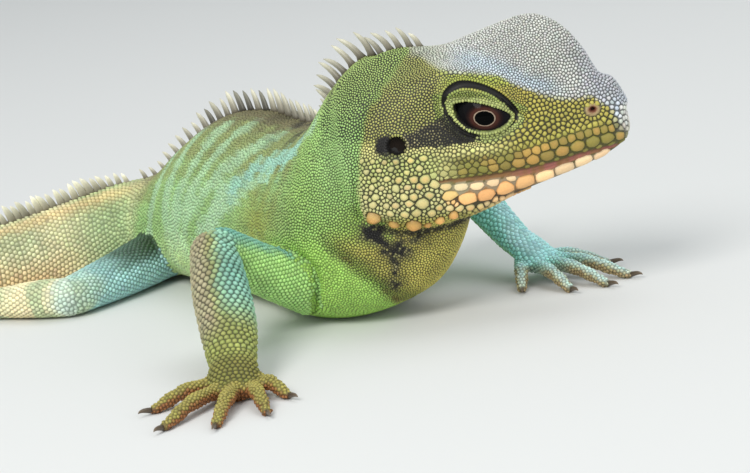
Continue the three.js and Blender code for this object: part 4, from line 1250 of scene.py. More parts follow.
    def digit(self, name: str, points: Array, normals: Array, along: Array) -> Array:
        """The digits' olives, with orange-brown at their sides, and painted highlights on the left hand's.
        """
        fine, up = self.drift.at(points, 5), normals[:, 2]
        if name.startswith("hand_left"):
            # painted highlights: pale, then pale aqua, on the upper sides of the left hand's digits
            paint = Paint(len(points), Tone.DIGIT_PALE)
            paint.lay(Tone.DIGIT_OLIVE, step(0.8, 0.25, up + 0.1 * fine) * 0.7)
            paint.lay(Tone.AQUA, step(1.4, 0.3, along + 0.2 * fine) * 0.8)
            paint.lay(Tone.AQUA_PALE, step(0.6, 0.95, up) * 0.5)
        else:
            paint = Paint(len(points), Tone.DIGIT_OLIVE if name.startswith("hand") else Tone.TAIL_GREEN)
        orange = 0.85 if name.startswith("hand_right") else 0.4
        paint.lay(Tone.DIGIT_ORANGE, step(0.55, 0.05, up + 0.1 * fine) * orange)
        return paint.colour

    @staticmethod
    def bare(local: Array, colour: Array) -> Array:
        """The skin between scales: the markings darkened, partly as painted shade, with the lips, lids, ears
        and nostrils, and painted shade in the mouth's slit, the eye's socket, the ear's pit and the nostril.

        Args:
            local: places in the head's frame.
            colour: the markings there.
        """
        x, aside, z = local[:, 0], np.abs(local[:, 1]), local[:, 2]
        flank, snout = aside > FLANK, aside > 3
        paint = Paint(len(x), Tone.BLACK)
        paint.colour = colour
        down = lip_share(x, z)
        lip = step(-0.15, 0.0, down) * (1 - step(1.0, 1.15, down))
        lip = lip * step(MOUTH_CORNER - 2, MOUTH_CORNER + 1, x) * (aside > 1.5)
        paint.lay(Tone.LIP, lip * 0.9)
        paint.lay(Tone.LIP_FRONT, lip * step(24, 34, x) * (0.5 + 0.4 * np.sin(0.9 * x + np.sin(2.3 * x))))
        # a dark line along the mouth, painted shade in its slit, and another along the middle of the lip
        lines = hill(z - mouth_height(x), 0.2) * 0.5 + 0.3 * hill(down - 0.55 - 0.04 * np.sin(1.3 * x), 0.12)
        opening, nostril = EYE.opening(x, z), nostril_share(x, z)
        for tone, mask in (
            (Tone.BLACK, lip * lines),
            (Tone.LID, (1 - step(1.05, 1.12, opening)) * flank * 0.8),
            # painted shade: the socket inside the eye's opening is black
            (Tone.BLACK, (1 - step(1.0, 1.05, opening)) * flank),
            (Tone.BLACK, Markings.wedge(x, z) * flank),
            (Tone.BLACK, (1 - step(1.05, 1.4, groove_share(x, z))) * flank),
            (Tone.NOSTRIL, (1 - step(0.85, 0.95, nostril)) * snout),
            (Tone.NOSTRIL_HOLE, (1 - step(0.45, 0.65, nostril)) * snout),
            # painted shade at the bottom of the nostril's pit
            (Tone.BLACK, (1 - step(0.1, 0.32, nostril)) * snout),
            # painted shade on the walls of the ear's pit
            (Tone.BLACK, 1 - step(EAR_RADIUS, EAR_RADIUS + 0.5, ear_distance(x, z))),
        ):
            paint.lay(tone, mask)
        return paint.colour


# ---------------------------------------------------------------- scales


@dataclass(frozen=True)
class ScaleKind:
    """How one kind of scale is shaped, in shares of its half size."""

    rise: float  # how high it stands
    flat: float  # how much of it is a flat top
    tilt: float = 0.0  # how far its free end is raised
    keel: float = 0.0  # how high a ridge runs along it
    cover: float = 0.96  # how much of its place it fills
    gap: float = 0.4  # how light the gap round it is: the skin's darker colour there, and painted shade in the crevice


class Kind(Enum):
    """The kinds of scale."""

    GRANULE = ScaleKind(0.5, 0.68, cover=0.92, gap=0.13)
    BEAD = ScaleKind(0.5, 0.6, cover=0.84, gap=0.06)
    PEBBLE = ScaleKind(0.38, 0.7, tilt=0.16, keel=0.05, cover=0.95, gap=0.26)
    FLAKE = ScaleKind(0.36, 0.7, tilt=0.22, keel=0.12, cover=0.98, gap=0.55)
    LEAF = ScaleKind(0.28, 0.72, tilt=0.2, keel=0.14, cover=0.95, gap=0.34)
    PLATE = ScaleKind(0.3, 0.8, cover=0.97, gap=0.36)
    PEBBLE_LIP = ScaleKind(0.4, 0.7, cover=0.97, gap=0.36)
    JAW_PLATE = ScaleKind(0.26, 0.82, cover=0.97, gap=0.42)
    TUBERCLE = ScaleKind(0.62, 0.6, cover=0.9, gap=0.12)
    CONE = ScaleKind(0.95, 0.35, cover=1.0, gap=0.4)
    DOT = ScaleKind(0.6, 0.6, cover=0.7, gap=0.12)
    RIM = ScaleKind(0.34, 0.7, cover=1.0, gap=0.5)


KINDS = list(Kind)


@dataclass
class Seeds:
    """The roots of many scales."""

    place: Array
    lie: Array  # which way the free end points
    length: Array  # half of it, along the lie
    width: Array  # half of it, across
    kind: Array  # the number of its Kind
    fixed: Array  # whether it keeps its place when its neighbours are evened out

    @classmethod
    def made(cls, place: Array, lie: Array, length: Array | float, width: Array | float, kind: Kind,
             fixed: bool = False) -> Seeds:
        """Seeds of one kind."""
        n = len(place)
        lie, length, width = (np.broadcast_to(value, shape).astype(float)
                              for value, shape in ((lie, (n, 3)), (length, n), (width, n)))
        return cls(place, lie, length, width, np.full(n, KINDS.index(kind)), np.full(n, fixed))

    @classmethod
    def joined(cls, parts: Sequence[Seeds]) -> Seeds:
        """Several sets as one."""
        return cls(*(np.concatenate([getattr(part, each.name) for part in parts]) for each in fields(cls)))

    def taken(self, chosen: Array) -> Seeds:
        """The chosen seeds."""
        return Seeds(*(getattr(self, each.name)[chosen] for each in fields(self)))

    def are(self, *kinds: Kind) -> Array:
        """Which seeds are of these kinds."""
        return np.isin(self.kind, [KINDS.index(kind) for kind in kinds])


# Rows of scales along the jaws: from, to; then, along the head, their lengths, heights over the mouth line
# and half widths; and their kind
JAW_ROWS = (
    (55.0, 13, ((56, 2.4), (46, 3.3), (30, 3.2), (24, 2.2), (13, 1.8)), ((11, 0.46), (56, 0.46)),
     ((11, 0.32), (56, 0.38)), Kind.RIM),
    (55.0, 11, ((56, 2.8), (48, 3.6), (36, 3.4), (30, 3.1), (24, 2.4), (14, 2.2)),
     ((11, 1.4), (24, 1.62), (33, 1.95), (42, 2.1), (56, 1.9)),
     ((11, 0.65), (24, 0.8), (33, 1.02), (46, 1.1), (56, 0.9)), Kind.PLATE),
    (52.5, 13, ((53, 1.7), (44, 2.0), (34, 2.1), (24, 1.9), (13, 1.5)),
     ((13, 2.7), (24, 3.0), (30, 3.6), (38, 4.15), (46, 4.3), (53, 4.1)),
     ((13, 0.55), (24, 0.62), (32, 0.85), (40, 0.95), (50, 0.85)), Kind.PLATE),
    (50.0, 22, ((50, 1.3), (36, 1.6), (24, 1.5)), ((22, 4.2), (30, 5.1), (38, 5.8), (50, 5.8)),
     ((22, 0.55), (36, 0.72), (50, 0.68)), Kind.PEBBLE_LIP),
    (29.5, 18, ((18, 2.1), (30, 2.2)), ((18, 6.1), (30, 6.3)), ((18, 0.62), (30, 0.6)), Kind.PEBBLE_LIP),
    (54.0, 11.5, ((54, 3.4), (48, 4.3), (36, 4.7), (24, 4.4), (13, 4.0)),
     ((11, -3.6), (13, -3.9), (17.7, -4.95), (21.8, -4.6), (26.7, -3.5), (31.5, -3.0), (36, -2.7),
      (40.5, -2.35), (44.6, -2.05), (48.7, -1.65), (54, -1.3)),
     ((11, 0.9), (17.7, 1.1), (21.8, 1.18), (26.7, 1.36), (31.5, 1.32), (36, 1.2), (44.6, 1.05), (49, 0.9),
      (54, 0.7)), Kind.JAW_PLATE),
    (29.5, 11, ((11, 3.4), (29, 4.0)), ((11, -1.5), (16, -2.05), (20, -2.25), (24, -1.95), (29, -1.6)),
     ((11, 0.6), (20, 0.68), (24, 0.62), (28, 0.45)), Kind.JAW_PLATE),
    (50.0, 26, ((26, 3.4), (50, 3.0)), ((26, -6.3), (36, -5.4), (46, -4.7), (50, -4.0)),
     ((26, 0.95), (50, 0.8)), Kind.JAW_PLATE),
    (26.0, 11, ((11, 2.2), (26, 2.5)), ((11, -6.3), (16, -7.2), (26, -7.4)), ((11, 0.85), (26, 0.85)),
     Kind.TUBERCLE),
)
# The cones under the jowl: forward, up and half size
CONES = ((-5.0, 27.7, 2.1), (-0.4, 25.6, 1.4), (4.1, 25.1, 1.95), (7.4, 24.6, 0.9), (10.3, 25.4, 1.15),
         (13.6, 26.2, 1.15), (17.0, 26.8, 0.95), (20.3, 27.4, 0.95))
# Where the jaws' rows leave no room for other scales: along the head, from and to over the mouth line
PLATED = ((13, -5.2, 2.0), (18, -6.6, 2.4), (24, -6.4, 2.8), (31, -5.4, 3.4), (40, -4.4, 4.0),
          (54, -2.8, 3.9))
PEBBLES_END = 9.3  # the row of the spine where the small irregular scales give way to even rows


def pebble_spacing(along: Array) -> Array:
    """How far apart the scales of the neck and the trunk lie."""
    return curve_at(((0, 0.7), (2.5, 0.72), (4, 0.88), (6, 1.04), (10, 1.2)), along)


class Sower:
    """Places every scale: rows along the lofts, rows of shields on the head, and small scales between."""

    # How close another scale may come, as a share of their half sizes together
    CROWD, LUMP_CROWD, SHIELD_CROWD = 0.63, 0.78, 0.92
    ROW_PITCH = 0.87  # between rows, as a share of the spacing in a row
    ROUNDS, NEIGHBOURS = 3, 7  # how often seeds are pushed apart, and by how many others
    AROUND = 160  # points of the rings on which rows are laid
    STRAY = 1.6  # how far from its own loft a row's scale may settle on the skin
    # Candidates to a square millimetre
    HEAD_CANDIDATES, TRUNK_CANDIDATES, OTHER_CANDIDATES = 13.0, 10.0, 2.2
    WANDER, JITTER = 0.5, 0.13  # how far rows wave, and how far each scale is off its row

    def __init__(self, skin: Skin) -> None:
        """Keeps the skin and seeds the random draws."""
        self.skin = skin
        self.random = np.random.default_rng(SEED)
        self.drift = [Drift(SEED + 10 + k) for k in range(3)]

    def sow(self) -> Seeds:
        """All the seeds, thinned out and evened out."""
        shields = Seeds.joined([self.shields(side) for side in (1, -1)] + [self.rostral()])
        rows = Seeds.joined([self.rows(number) for number in range(1, len(self.skin.tubes))])
        small = [self.granules(), self.pebbles(), self.filling()]
        seeds = self.evened(self.thinned(Seeds.joined([shields, rows, *small])))
        return seeds.taken(~self.bare(seeds.place))

    def rows(self, number: int) -> Seeds:
        """Staggered rows of scales round one loft."""
        tube = self.skin.tubes[number]
        t = np.linspace(tube.start, tube.stop, 1600)
        middles = tube.rings(t, 4).mean(axis=1)
        length = run_along(middles)
        stops, here = [], 0.3
        if tube.name == "body":
            here = float(np.interp(PEBBLES_END, t, length))
        while here < length[-1]:
            stops.append(here)
            here += tube.spacing(np.interp([here], length, t))[0] * self.ROW_PITCH
        t = np.interp(stops, length, t)
        rings = tube.rings(t, self.AROUND)
        behind = (tube.rings(np.minimum(t + NUDGE, tube.stop), self.AROUND)
                  - tube.rings(np.maximum(t - NUDGE, tube.start), self.AROUND))
        spacing = tube.spacing(t)
        places, lies, sizes, count = [], [], [], 0
        for i, ring in enumerate(rings):
            closed = np.concatenate([ring, ring[:1]])
            run = run_along(closed)
            wanted = run[-1] / spacing[i]
            if abs(wanted - count) > max(1.0, 0.05 * wanted):
                count = max(5, round(wanted))
            at = (np.arange(count) + 0.5 * (i % 2)) * run[-1] / count
            step_back = np.concatenate([behind[i], behind[i][:1]])
            places.append(np.column_stack([np.interp(at, run, closed[:, k]) for k in range(3)]))
            lies.append(np.column_stack([np.interp(at, run, step_back[:, k]) for k in range(3)]))
            sizes.append(np.full(count, spacing[i] / 2))
        place, size = np.concatenate(places), np.concatenate(sizes)
        wobble = self.WANDER * np.column_stack([drift.at(place, 7.0) for drift in self.drift])
        wobble = wobble + self.JITTER * self.random.normal(size=place.shape)
        on_skin = self.skin.settle(place + size[:, None] * wobble)
        mine = self.skin.chart[self.skin.charted(on_skin)] == number
        mine &= np.linalg.norm(on_skin - place, axis=1) < self.STRAY
        kind, stretch = Kind.LEAF, 1.18
        for start, share in (("body", 1.06), ("upper_arm", 1.1)):
            if tube.name.startswith(start):
                kind, stretch = Kind.FLAKE, share
        if tube.name[-1].isdigit():
            kind, stretch = Kind.FLAKE, 1.3
        return Seeds.made(on_skin, unit(np.concatenate(lies)), size * stretch, size, kind).taken(mine)

    def side_row(self, side: int, x: Array, z: Array, length: Array | float, width: Array | float,
                 kind: Kind, lie: Sequence[float] = (-1.0, 0.0, 0.0)) -> Seeds:
        """Seeds on one side of the head, at places forward and up."""
        place = self.skin.from_side(x, z, side)
        found = ~np.isnan(place[:, 0])
        found[found] = self.skin.chart[self.skin.charted(place[found])] == 0
        way = from_head(np.asarray(lie, float) * (1, side, 1), turn_only=True)
        length, width = np.broadcast_to(length, len(x)), np.broadcast_to(width, len(x))
        return Seeds.made(place[found], way, length[found], width[found], kind, fixed=True)

    @staticmethod
    def walk(start: float, stop: float, length_at: Sequence[tuple[float, float]]) -> tuple[Array, Array]:
        """Places from start back to stop, each scale as long as length_at says there, and those lengths."""
        places, lengths, here = [], [], start
        while here > stop:
            long = number_at(length_at, here)
            places.append(here - long / 2)
            lengths.append(long)
            here -= long
        return np.array(places), np.array(lengths)

    def shields(self, side: int) -> Seeds:
        """The head's ordered scales on one side: lips, chin, jowls, lids, brow, nostril and ear."""
        made = []

        def add(x: Array, z: Array, length: Array | float, width: Array | float, kind: Kind,
                *lie: Sequence[float]) -> None:
            made.append(self.side_row(side, x, z, length, width, kind, *lie))

        for start, stop, lengths, heights, halves, kind in JAW_ROWS:
            x, length = self.walk(start, stop, lengths)
            jitter = 1 + 0.06 * self.random.normal(size=len(x))
            z = mouth_height(x) + curve_at(heights, x)
            add(x, z, length / 2 * jitter * 0.97, curve_at(halves, x), kind)
        x, z, size = np.array(CONES).T
        add(x, z, size, size * 0.92, Kind.CONE, (-0.9, 0, -0.4))
        for row, z0 in enumerate(np.arange(28.4, 41.0, 2.05)):
            x = np.arange(-6.0 + 1.45 * (row % 2), 18.0 - 1.25 * row, 2.9)
            x = x + 0.3 * self.random.normal(size=len(x))
            z = z0 - 0.06 * x + 0.22 * self.random.normal(size=len(x))
            size = (1.06 + 0.034 * x - 0.04 * row) * (1 + 0.12 * self.random.normal(size=len(x)))
            add(x, z, size * 1.3, size * 0.84, Kind.TUBERCLE)
        for reach, count in ((1.14, 52), (1.34, 56)):
            add(*EYE.rim(reach, count), 0.34 * 1.1, 0.34, Kind.RIM)
        for turn in (1, -1):
            x, z = self.beside_groove(turn, 0.66)
            shown = (turn < 0) | (z > 51) | (x > 24)
            add(x[shown], z[shown], 0.36, 0.32, Kind.RIM)
        x, _ = self.walk(53, 14, ((53, 1.5), (40, 1.35), (14, 1.0)))
        add(x, smooth_at(HEAD_RAILS[2], x)[:, 1] - 0.2, 0.65, 0.55, Kind.GRANULE)
        for (x, z), long, tall, count, length, width in (
            (NOSTRIL_CENTRE, 2.55, 2.15, 17, 0.48, 0.42),
            (EAR_CENTRE, EAR_RADIUS + 0.55, EAR_RADIUS + 0.55, 24, 0.4, 0.4),
        ):
            turn = turns(count)
            add(x + long * np.cos(turn), z + tall * np.sin(turn), length, width, Kind.GRANULE)
        return Seeds.joined(made)

    @staticmethod
    def beside_groove(turn: int, pitch: float) -> tuple[Array, Array]:
        """Places along one edge of the groove round the eye, evenly along it."""
        way = unit(np.gradient(GROOVE[:, :2], axis=0))
        line = GROOVE[:, :2] + turn * (GROOVE[:, 2:] + 0.3) * np.column_stack([-way[:, 1], way[:, 0]])
        run = run_along(line)
        even = np.arange(0, run[-1], pitch)
        return np.interp(even, run, line[:, 0]), np.interp(even, run, line[:, 1])

    def rostral(self) -> Seeds:
        """The shield at the tip of the snout."""
        start = from_head(np.array([90.0, 0, 41.4]))
        way = from_head(np.array([-1.0, 0, 0]), turn_only=True)
        place = self.skin.tree.ray_cast(Vector(start), Vector(way))[0]
        return Seeds.made(np.array([tuple(place)]), (0, 0, 1.0), 0.9, 1.3, Kind.PLATE, fixed=True)

    @staticmethod
    def head_spacing(local: Array) -> Array:
        """How far apart the small scales of the head lie."""
        x, aside, z = local[:, 0], np.abs(local[:, 1]), local[:, 2]
        brow = smooth_at(HEAD_RAILS[2], x)[:, 1]
        above = z - mouth_height(x)
        size = np.full(len(x), 1.2)
        size = size + 0.35 * step(14, 7, above) * step(24, 32, x)
        size = np.where(z > brow - 1, 0.72 + 0.25 * step(32, 50, x), size)
        size = np.where((z > 41.5) & (x < 18) & (z < brow), 0.78, size)
        size = np.where((groove_share(x, z) < 5) & (aside > 7), 0.66, size)
        size = np.where((x < 13) & (z < 41.5), 1.06, size)
        size = np.where((above < 0.3) & (above > -8.5) & (x > 15), 1.6, size)
        size = size + (0.74 - size) * step(0.5, -1.5, x - head_edge(z))
        return np.where(z < 27, 1.0 + 0.6 * step(8, 13, x - 0.45 * (z - 14)), size)

    def granules(self) -> Seeds:
        """Candidates for the head's small scales, all over it."""
        middle = self.skin.points[self.skin.triangles].mean(axis=1)
        near = to_head(middle)[:, 0] > -18
        place = self.skin.spread(self.HEAD_CANDIDATES, self.random, near & (middle[:, 2] > 14))
        place = place[self.skin.chart[self.skin.charted(place)] == 0]
        x, _, z = to_head(place).T
        above, (low, high) = z - mouth_height(x), smooth_at(PLATED, x).T
        place = place[(x < 13.5) | (x > 55) | (above < low) | (above > high)]
        local = to_head(place)
        x, z = local[:, 0], local[:, 2]
        size = self.head_spacing(local) / 2
        long = 0.3 * step(16, 22, x) * hill(z - mouth_height(x) - 8, 5)
        lie = from_head(np.array([-1.0, 0, -0.15]), turn_only=True)
        seeds = Seeds.made(place, lie, size * (1.04 + long), size * (1 - 0.4 * long), Kind.GRANULE)
        temple = (x < 24) & (z > 45.5) & (groove_share(x, z) > 4)
        temple &= z < curve_at(SILVER_EDGE, x) - 0.3
        seeds.kind[temple] = KINDS.index(Kind.BEAD)
        stripe = (Markings.wedge(x, z) > 0.5) & (np.abs(local[:, 1]) > FLANK)
        seeds.kind[stripe] = KINDS.index(Kind.DOT)
        return seeds

    def pebbles(self) -> Seeds:
        """Candidates for the small irregular scales of the neck and the trunk."""
        in_front = self.skin.points[self.skin.triangles[:, 0], 0] > -95
        place = self.skin.spread(self.TRUNK_CANDIDATES, self.random, in_front)
        nearest = self.skin.charted(place)
        along = self.skin.chart_along[nearest]
        keep = (self.skin.chart[nearest] == 1) & (along < PEBBLES_END)
        place, along, nearest = place[keep], along[keep], nearest[keep]
        below = step(6.0, 2.5, place[:, 2])
        size = pebble_spacing(along) / 2 * (1 + 0.35 * below)
        seeds = Seeds.made(place, self.skin.chart_lie[nearest], size * 1.06, size, Kind.PEBBLE)
        nape = to_head(place)[:, 2] > 46 + 2 * self.random.normal(size=len(place))
        seeds.kind[nape & (along < 3)] = KINDS.index(Kind.BEAD)
        return seeds

    def filling(self) -> Seeds:
        """Candidates for the places between the lofts' rows."""
        place = self.skin.spread(self.OTHER_CANDIDATES, self.random)
        nearest = self.skin.charted(place)
        chart, along = self.skin.chart[nearest], self.skin.chart_along[nearest]
        size = np.full(len(place), 0.5)
        for number, tube in enumerate(self.skin.tubes):
            mine = chart == number
            if mine.any():
                size[mine] = tube.spacing(along[mine]) / 2
        keep = (chart > 0) & ((chart > 1) | (along > PEBBLES_END - 0.2))
        return Seeds.made(place, self.skin.chart_lie[nearest], size, size, Kind.FLAKE).taken(keep)

    def thinned(self, seeds: Seeds) -> Seeds:
        """Drops the seeds that crowd one before them."""
        tree = tree_of(seeds.place)
        places, lies = seeds.place.tolist(), seeds.lie.tolist()
        length, width = seeds.length.tolist(), seeds.width.tolist()
        kinds = [seeds.are(Kind.PLATE, Kind.JAW_PLATE, Kind.CONE), seeds.are(Kind.TUBERCLE)]
        crowd = np.select(kinds, [self.SHIELD_CROWD, self.LUMP_CROWD], self.CROWD).tolist()
        dropped = bytearray(len(places))
        for i, (x, y, z) in enumerate(places):
            if dropped[i]:
                continue
            a, b, (u, v, w) = length[i], width[i], lies[i]
            for (px, py, pz), j, far in tree.find_range((x, y, z), crowd[i] * (max(a, b) + 0.75)):
                if j <= i or dropped[j]:
                    continue
                ahead = ((px - x) * u + (py - y) * v + (pz - z) * w) / max(far, 1e-6)
                reach = 1 / math.sqrt(ahead * ahead / (a * a) + max(0.0, 1 - ahead * ahead) / (b * b))
                if far < crowd[i] * (reach + width[j]):
                    dropped[j] = 1
        return seeds.taken(np.frombuffer(bytes(dropped), np.uint8) == 0)

    def evened(self, seeds: Seeds) -> Seeds:
        """Pushes crowded seeds apart, all but the fixed ones."""
        size = np.sqrt(seeds.length * seeds.width)
        share = np.where(seeds.fixed, 0.0, 0.35)
        for _ in range(self.ROUNDS):
            near = neighbours_of(seeds.place, self.NEIGHBOURS)
            away = seeds.place[:, None] - seeds.place[near]
            far = np.linalg.norm(away, axis=2)
            overlap = np.clip((size[:, None] + size[near]) * 1.02 - far, 0, None)
            push = (away / np.maximum(far, 1e-6)[..., None] * overlap[..., None]).sum(axis=1)
            push = push * share[:, None]
            moving = (share > 0) & (np.linalg.norm(push, axis=1) > 0.03)
            seeds.place[moving] = self.skin.settle(seeds.place[moving] + push[moving])
        return seeds

    @staticmethod
    def bare(place: Array) -> Array:
        """Where no scale grows: eyes, lips, eardrums, nostrils and the grooves round the eyes."""
        local = to_head(place)
        x, aside, z = local[:, 0], np.abs(local[:, 1]), local[:, 2]
        down = lip_share(x, z)
        lip = (down > 0.0) & (down < 1.0) & (x > MOUTH_CORNER) & (aside > 2)
        flank = aside > FLANK
        eye = ((EYE.opening(x, z) < 1.06) | (groove_share(x, z) < 1.05)) & flank
        ear = (ear_distance(x, z) < EAR_RADIUS + 0.1) & flank
        nostril = (nostril_share(x, z) < 0.95) & (aside > 3)
        return (x > -8) & (z > 20) & (lip | eye | ear | nostril)


def neighbours_of(places: Array, count: int) -> Array:
    """The numbers of each place's nearest others."""
    tree = tree_of(places)
    return np.array([[hit[1] for hit in tree.find_n(place, count + 1)[1:]] for place in places.tolist()])


# ---------------------------------------------------------------- coat


@dataclass(frozen=True)
class CoatPiece:
    """One piece of the coat: which lofts' scales it takes, and from where along them."""

    name: str
    lofts: tuple[str, ...]
    start: float = -1.0
    stop: float = 99.0
    side: int = 0  # only the left side's scales if 1, and only the right's if -1


COAT_PIECES = (
    *(CoatPiece(f"scales_{name}_{word}", (loft,), start, stop, side)
      for name, loft, start, stop in (("head", "head", -1, 99), ("neck", "body", -1, 3.3),
                                      ("chest", "body", 3.3, 5.2), ("trunk", "body", 5.2, 7.4))
      for word, side in (("left", 1), ("right", -1))),
    CoatPiece("scales_hips", ("body",), 7.4, 10.4),
    CoatPiece("scales_tail", ("body",), 10.4, 99.0),
    *(CoatPiece(f"scales_{limb}_{word}", tuple(f"{part}_{word}" for part in parts))
      for limb, parts in (("arm", ("upper_arm", "forearm", "hand")), ("leg", ("thigh", "shank", "foot")))
      for word in ("right", "left")),
)
# How light the gaps between scales, with their painted shade, are on parts that show soft
SOFT_GAPS = {"upper_arm_left": 0.62, "forearm_left": 0.76, "hand_left": 0.76, "thigh_left": 0.62,
             "thigh_right": 0.62, "shank_left": 0.62, "shank_right": 0.62}


@dataclass(frozen=True)
class Template:
    """How a scale is meshed: how many sides, and its rings as shares of its reach and height."""

    sides: int
    rings: tuple[tuple[float, float], ...]  # reach, and height before the kind's flat share is applied

    def faces(self) -> Array:
        """Triangles of one scale: bands between rings, then a fan to the middle."""
        found = []
        for band in range(len(self.rings) - 1):
            for k in range(self.sides):
                a, b = band * self.sides + k, band * self.sides + (k + 1) % self.sides
                found += [(a, b, b + self.sides), (a, b + self.sides, a + self.sides)]
        last = (len(self.rings) - 1) * self.sides
        middle = len(self.rings) * self.sides
        found += [(last + k, last + (k + 1) % self.sides, middle) for k in range(self.sides)]
        return np.array(found)


COARSE = Template(8, ((1.0, 0.0), (0.75, 0.85)))
PLAIN = Template(6, ((1.0, 0.0), (0.75, 0.85)))
FINE = Template(14, ((1.0, 0.0), (0.94, 0.6), (0.72, 0.94)))


class Coat:
    """Every scale as solid mesh, in pieces."""

    UV_REACH = 0.0015  # how far a scale spreads on the unwrap
    NEIGHBOURS = 14  # how many others may limit a scale's reach
    FACING, FAR = 0.2, 9.0  # the cosine under which one doesn't, and no limit
    USUAL_FLAT = 0.75  # the share of its reach at which a template's last ring lies
    SUNK = 0.3  # how far a scale's edge lies in the skin, as a share of its reach
    # painted shade on each scale's sloping sides and a painted highlight on its top
    SIDE_LIGHT, TOP_LIGHT = 0.85, 1.06
    # How far beyond its own size a scale may grow to meet its neighbours
    MOST_PLATE, MOST_LUMP, MOST = 1.38, 1.28, 1.55

    def __init__(self, skin: Skin, markings: Markings, seeds: Seeds) -> None:
        """Finds each scale's frame, neighbours and colours."""
        self.skin, self.seeds = skin, seeds
        self.normal = skin.normals_at(seeds.place)
        along = seeds.lie - self.normal * (seeds.lie * self.normal).sum(axis=1, keepdims=True)
        self.along = unit(along)
        self.across = np.cross(self.normal, self.along)
        nearest = skin.charted(seeds.place)
        self.chart, self.chart_along = skin.chart[nearest], skin.chart_along[nearest]
        self.chart_around = skin.chart_around[nearest]
        self.names = np.array([tube.name for tube in skin.tubes])[self.chart]
        crest_line = np.minimum(self.chart_around, 1 - self.chart_around)
        self.colour = markings.at(seeds.place, self.normal, self.chart, self.chart_along, crest_line)
        self.near = neighbours_of(seeds.place, self.NEIGHBOURS)
        local = to_head(seeds.place)
        self._colour(local[:, :1], np.random.default_rng(SEED + 30))
        self._lighten(local[:, 0], local[:, 2])

    def _colour(self, x: Array, random: np.random.Generator) -> None:
        """Sets each scale's colour at its edge, that of its core, and how it is off its neighbours' tone."""
        def blend(colours: Array, chosen: Array, tone: Tone, share: Array | float) -> None:
            colours[chosen] += (tone.linear - colours[chosen]) * share

        def draw(chosen: Array) -> Array:
            return random.random((chosen.sum(), 1))

        cones, lumps, dots, plates, chin = (
            self.seeds.are(kind)
            for kind in (Kind.CONE, Kind.TUBERCLE, Kind.DOT, Kind.PLATE, Kind.JAW_PLATE))
        blend(self.colour, cones, Tone.CONE, 0.6)
        blend(self.colour, lumps, Tone.JOWL, draw(lumps) * 0.6)
        self.colour[dots] *= (0.15 + draw(dots) ** 1.2) * (0.1 + 0.9 * step(17, 11, x[dots]))
        self.core = self.colour.copy()
        blend(self.core, plates, Tone.LABIAL_CORE, 0.75 * draw(plates) ** 0.7 * step(23, 35, x[plates]))
        blend(self.core, cones, Tone.CONE, 0.9)
        blend(self.core, lumps, Tone.JOWL_ORANGE, 0.12 + 0.7 * draw(lumps) * step(-6, 8, x[lumps]))
        blend(self.core, chin, Tone.CHIN_PLATE, 0.3)
        count = len(self.names)
        self.tone = 1 + 0.09 * random.normal(size=(count, 1)) + 0.02 * random.normal(size=(count, 3))

    def _lighten(self, x: Array, z: Array) -> None:
        """Sets how light the gap round each scale is: the darker skin there, with painted shade in it."""
        names = self.names
        body, head = names == "body", names == "head"
        self.gap = np.array([kind.value.gap for kind in KINDS])[self.seeds.kind]
        for name, gap in SOFT_GAPS.items():
            self.gap[names == name] = gap
        chest = step(0.0, -3.0, x - curve_at(CHEST_FOLD, z)) * step(25, 18, z)
        cheek = step(7, 12, x) * step(41.5, 39.5, z) * step(0.0, 1.0, z - mouth_height(x))
        crown = step(-0.5, 0.5, z - curve_at(SILVER_EDGE, x)) * step(2, 8, x)
        for gap, mask, darkens in ((0.66, step(3.3, 5.0, self.chart_along) * body, True),
                                   (0.6, chest * body, True),
                                   (0.36, cheek * head, False), (0.24, crown * head, False)):
            self.gap += (gap - self.gap) * mask * ((self.gap < gap) | darkens)

    def reach(self, chosen: Array, sides: int) -> tuple[Array, Array]:
        """How far each chosen scale reaches in each direction, and those directions."""
        s, turn = self.seeds, turns(sides)

        def oval(cos: Array, sin: Array) -> Array:
            return 1 / np.sqrt((cos / s.length[chosen, None]) ** 2 + (sin / s.width[chosen, None]) ** 2)

        c, n = np.cos(turn), np.sin(turn)
        near = self.near[chosen]
        away = s.place[near] - s.place[chosen][:, None]
        x = (away * self.along[chosen][:, None]).sum(axis=2)
        y = (away * self.across[chosen][:, None]).sum(axis=2)
        far = np.hypot(x, y) + 1e-6
        x, y = x / far, y / far
        mine = oval(x, y)
        cos_theirs = (unit(away) * self.along[near]).sum(axis=2)
        theirs = 1 / np.sqrt((cos_theirs / s.length[near]) ** 2
                             + (1 - np.clip(cos_theirs**2, 0, 1)) / s.width[near] ** 2)
        edge = far * mine / (mine + theirs)
        facing = x[:, :, None] * c + y[:, :, None] * n
        ahead = facing > self.FACING
        limit = np.where(ahead, edge[:, :, None] / np.maximum(facing, self.FACING), self.FAR).min(axis=1)
        kinds = [s.are(Kind.PLATE, Kind.JAW_PLATE, Kind.RIM)[chosen], s.are(Kind.TUBERCLE)[chosen]]
        most = np.select(kinds, [self.MOST_PLATE, self.MOST_LUMP], self.MOST)
        return np.minimum(limit, oval(c, n) * most[:, None]), turn

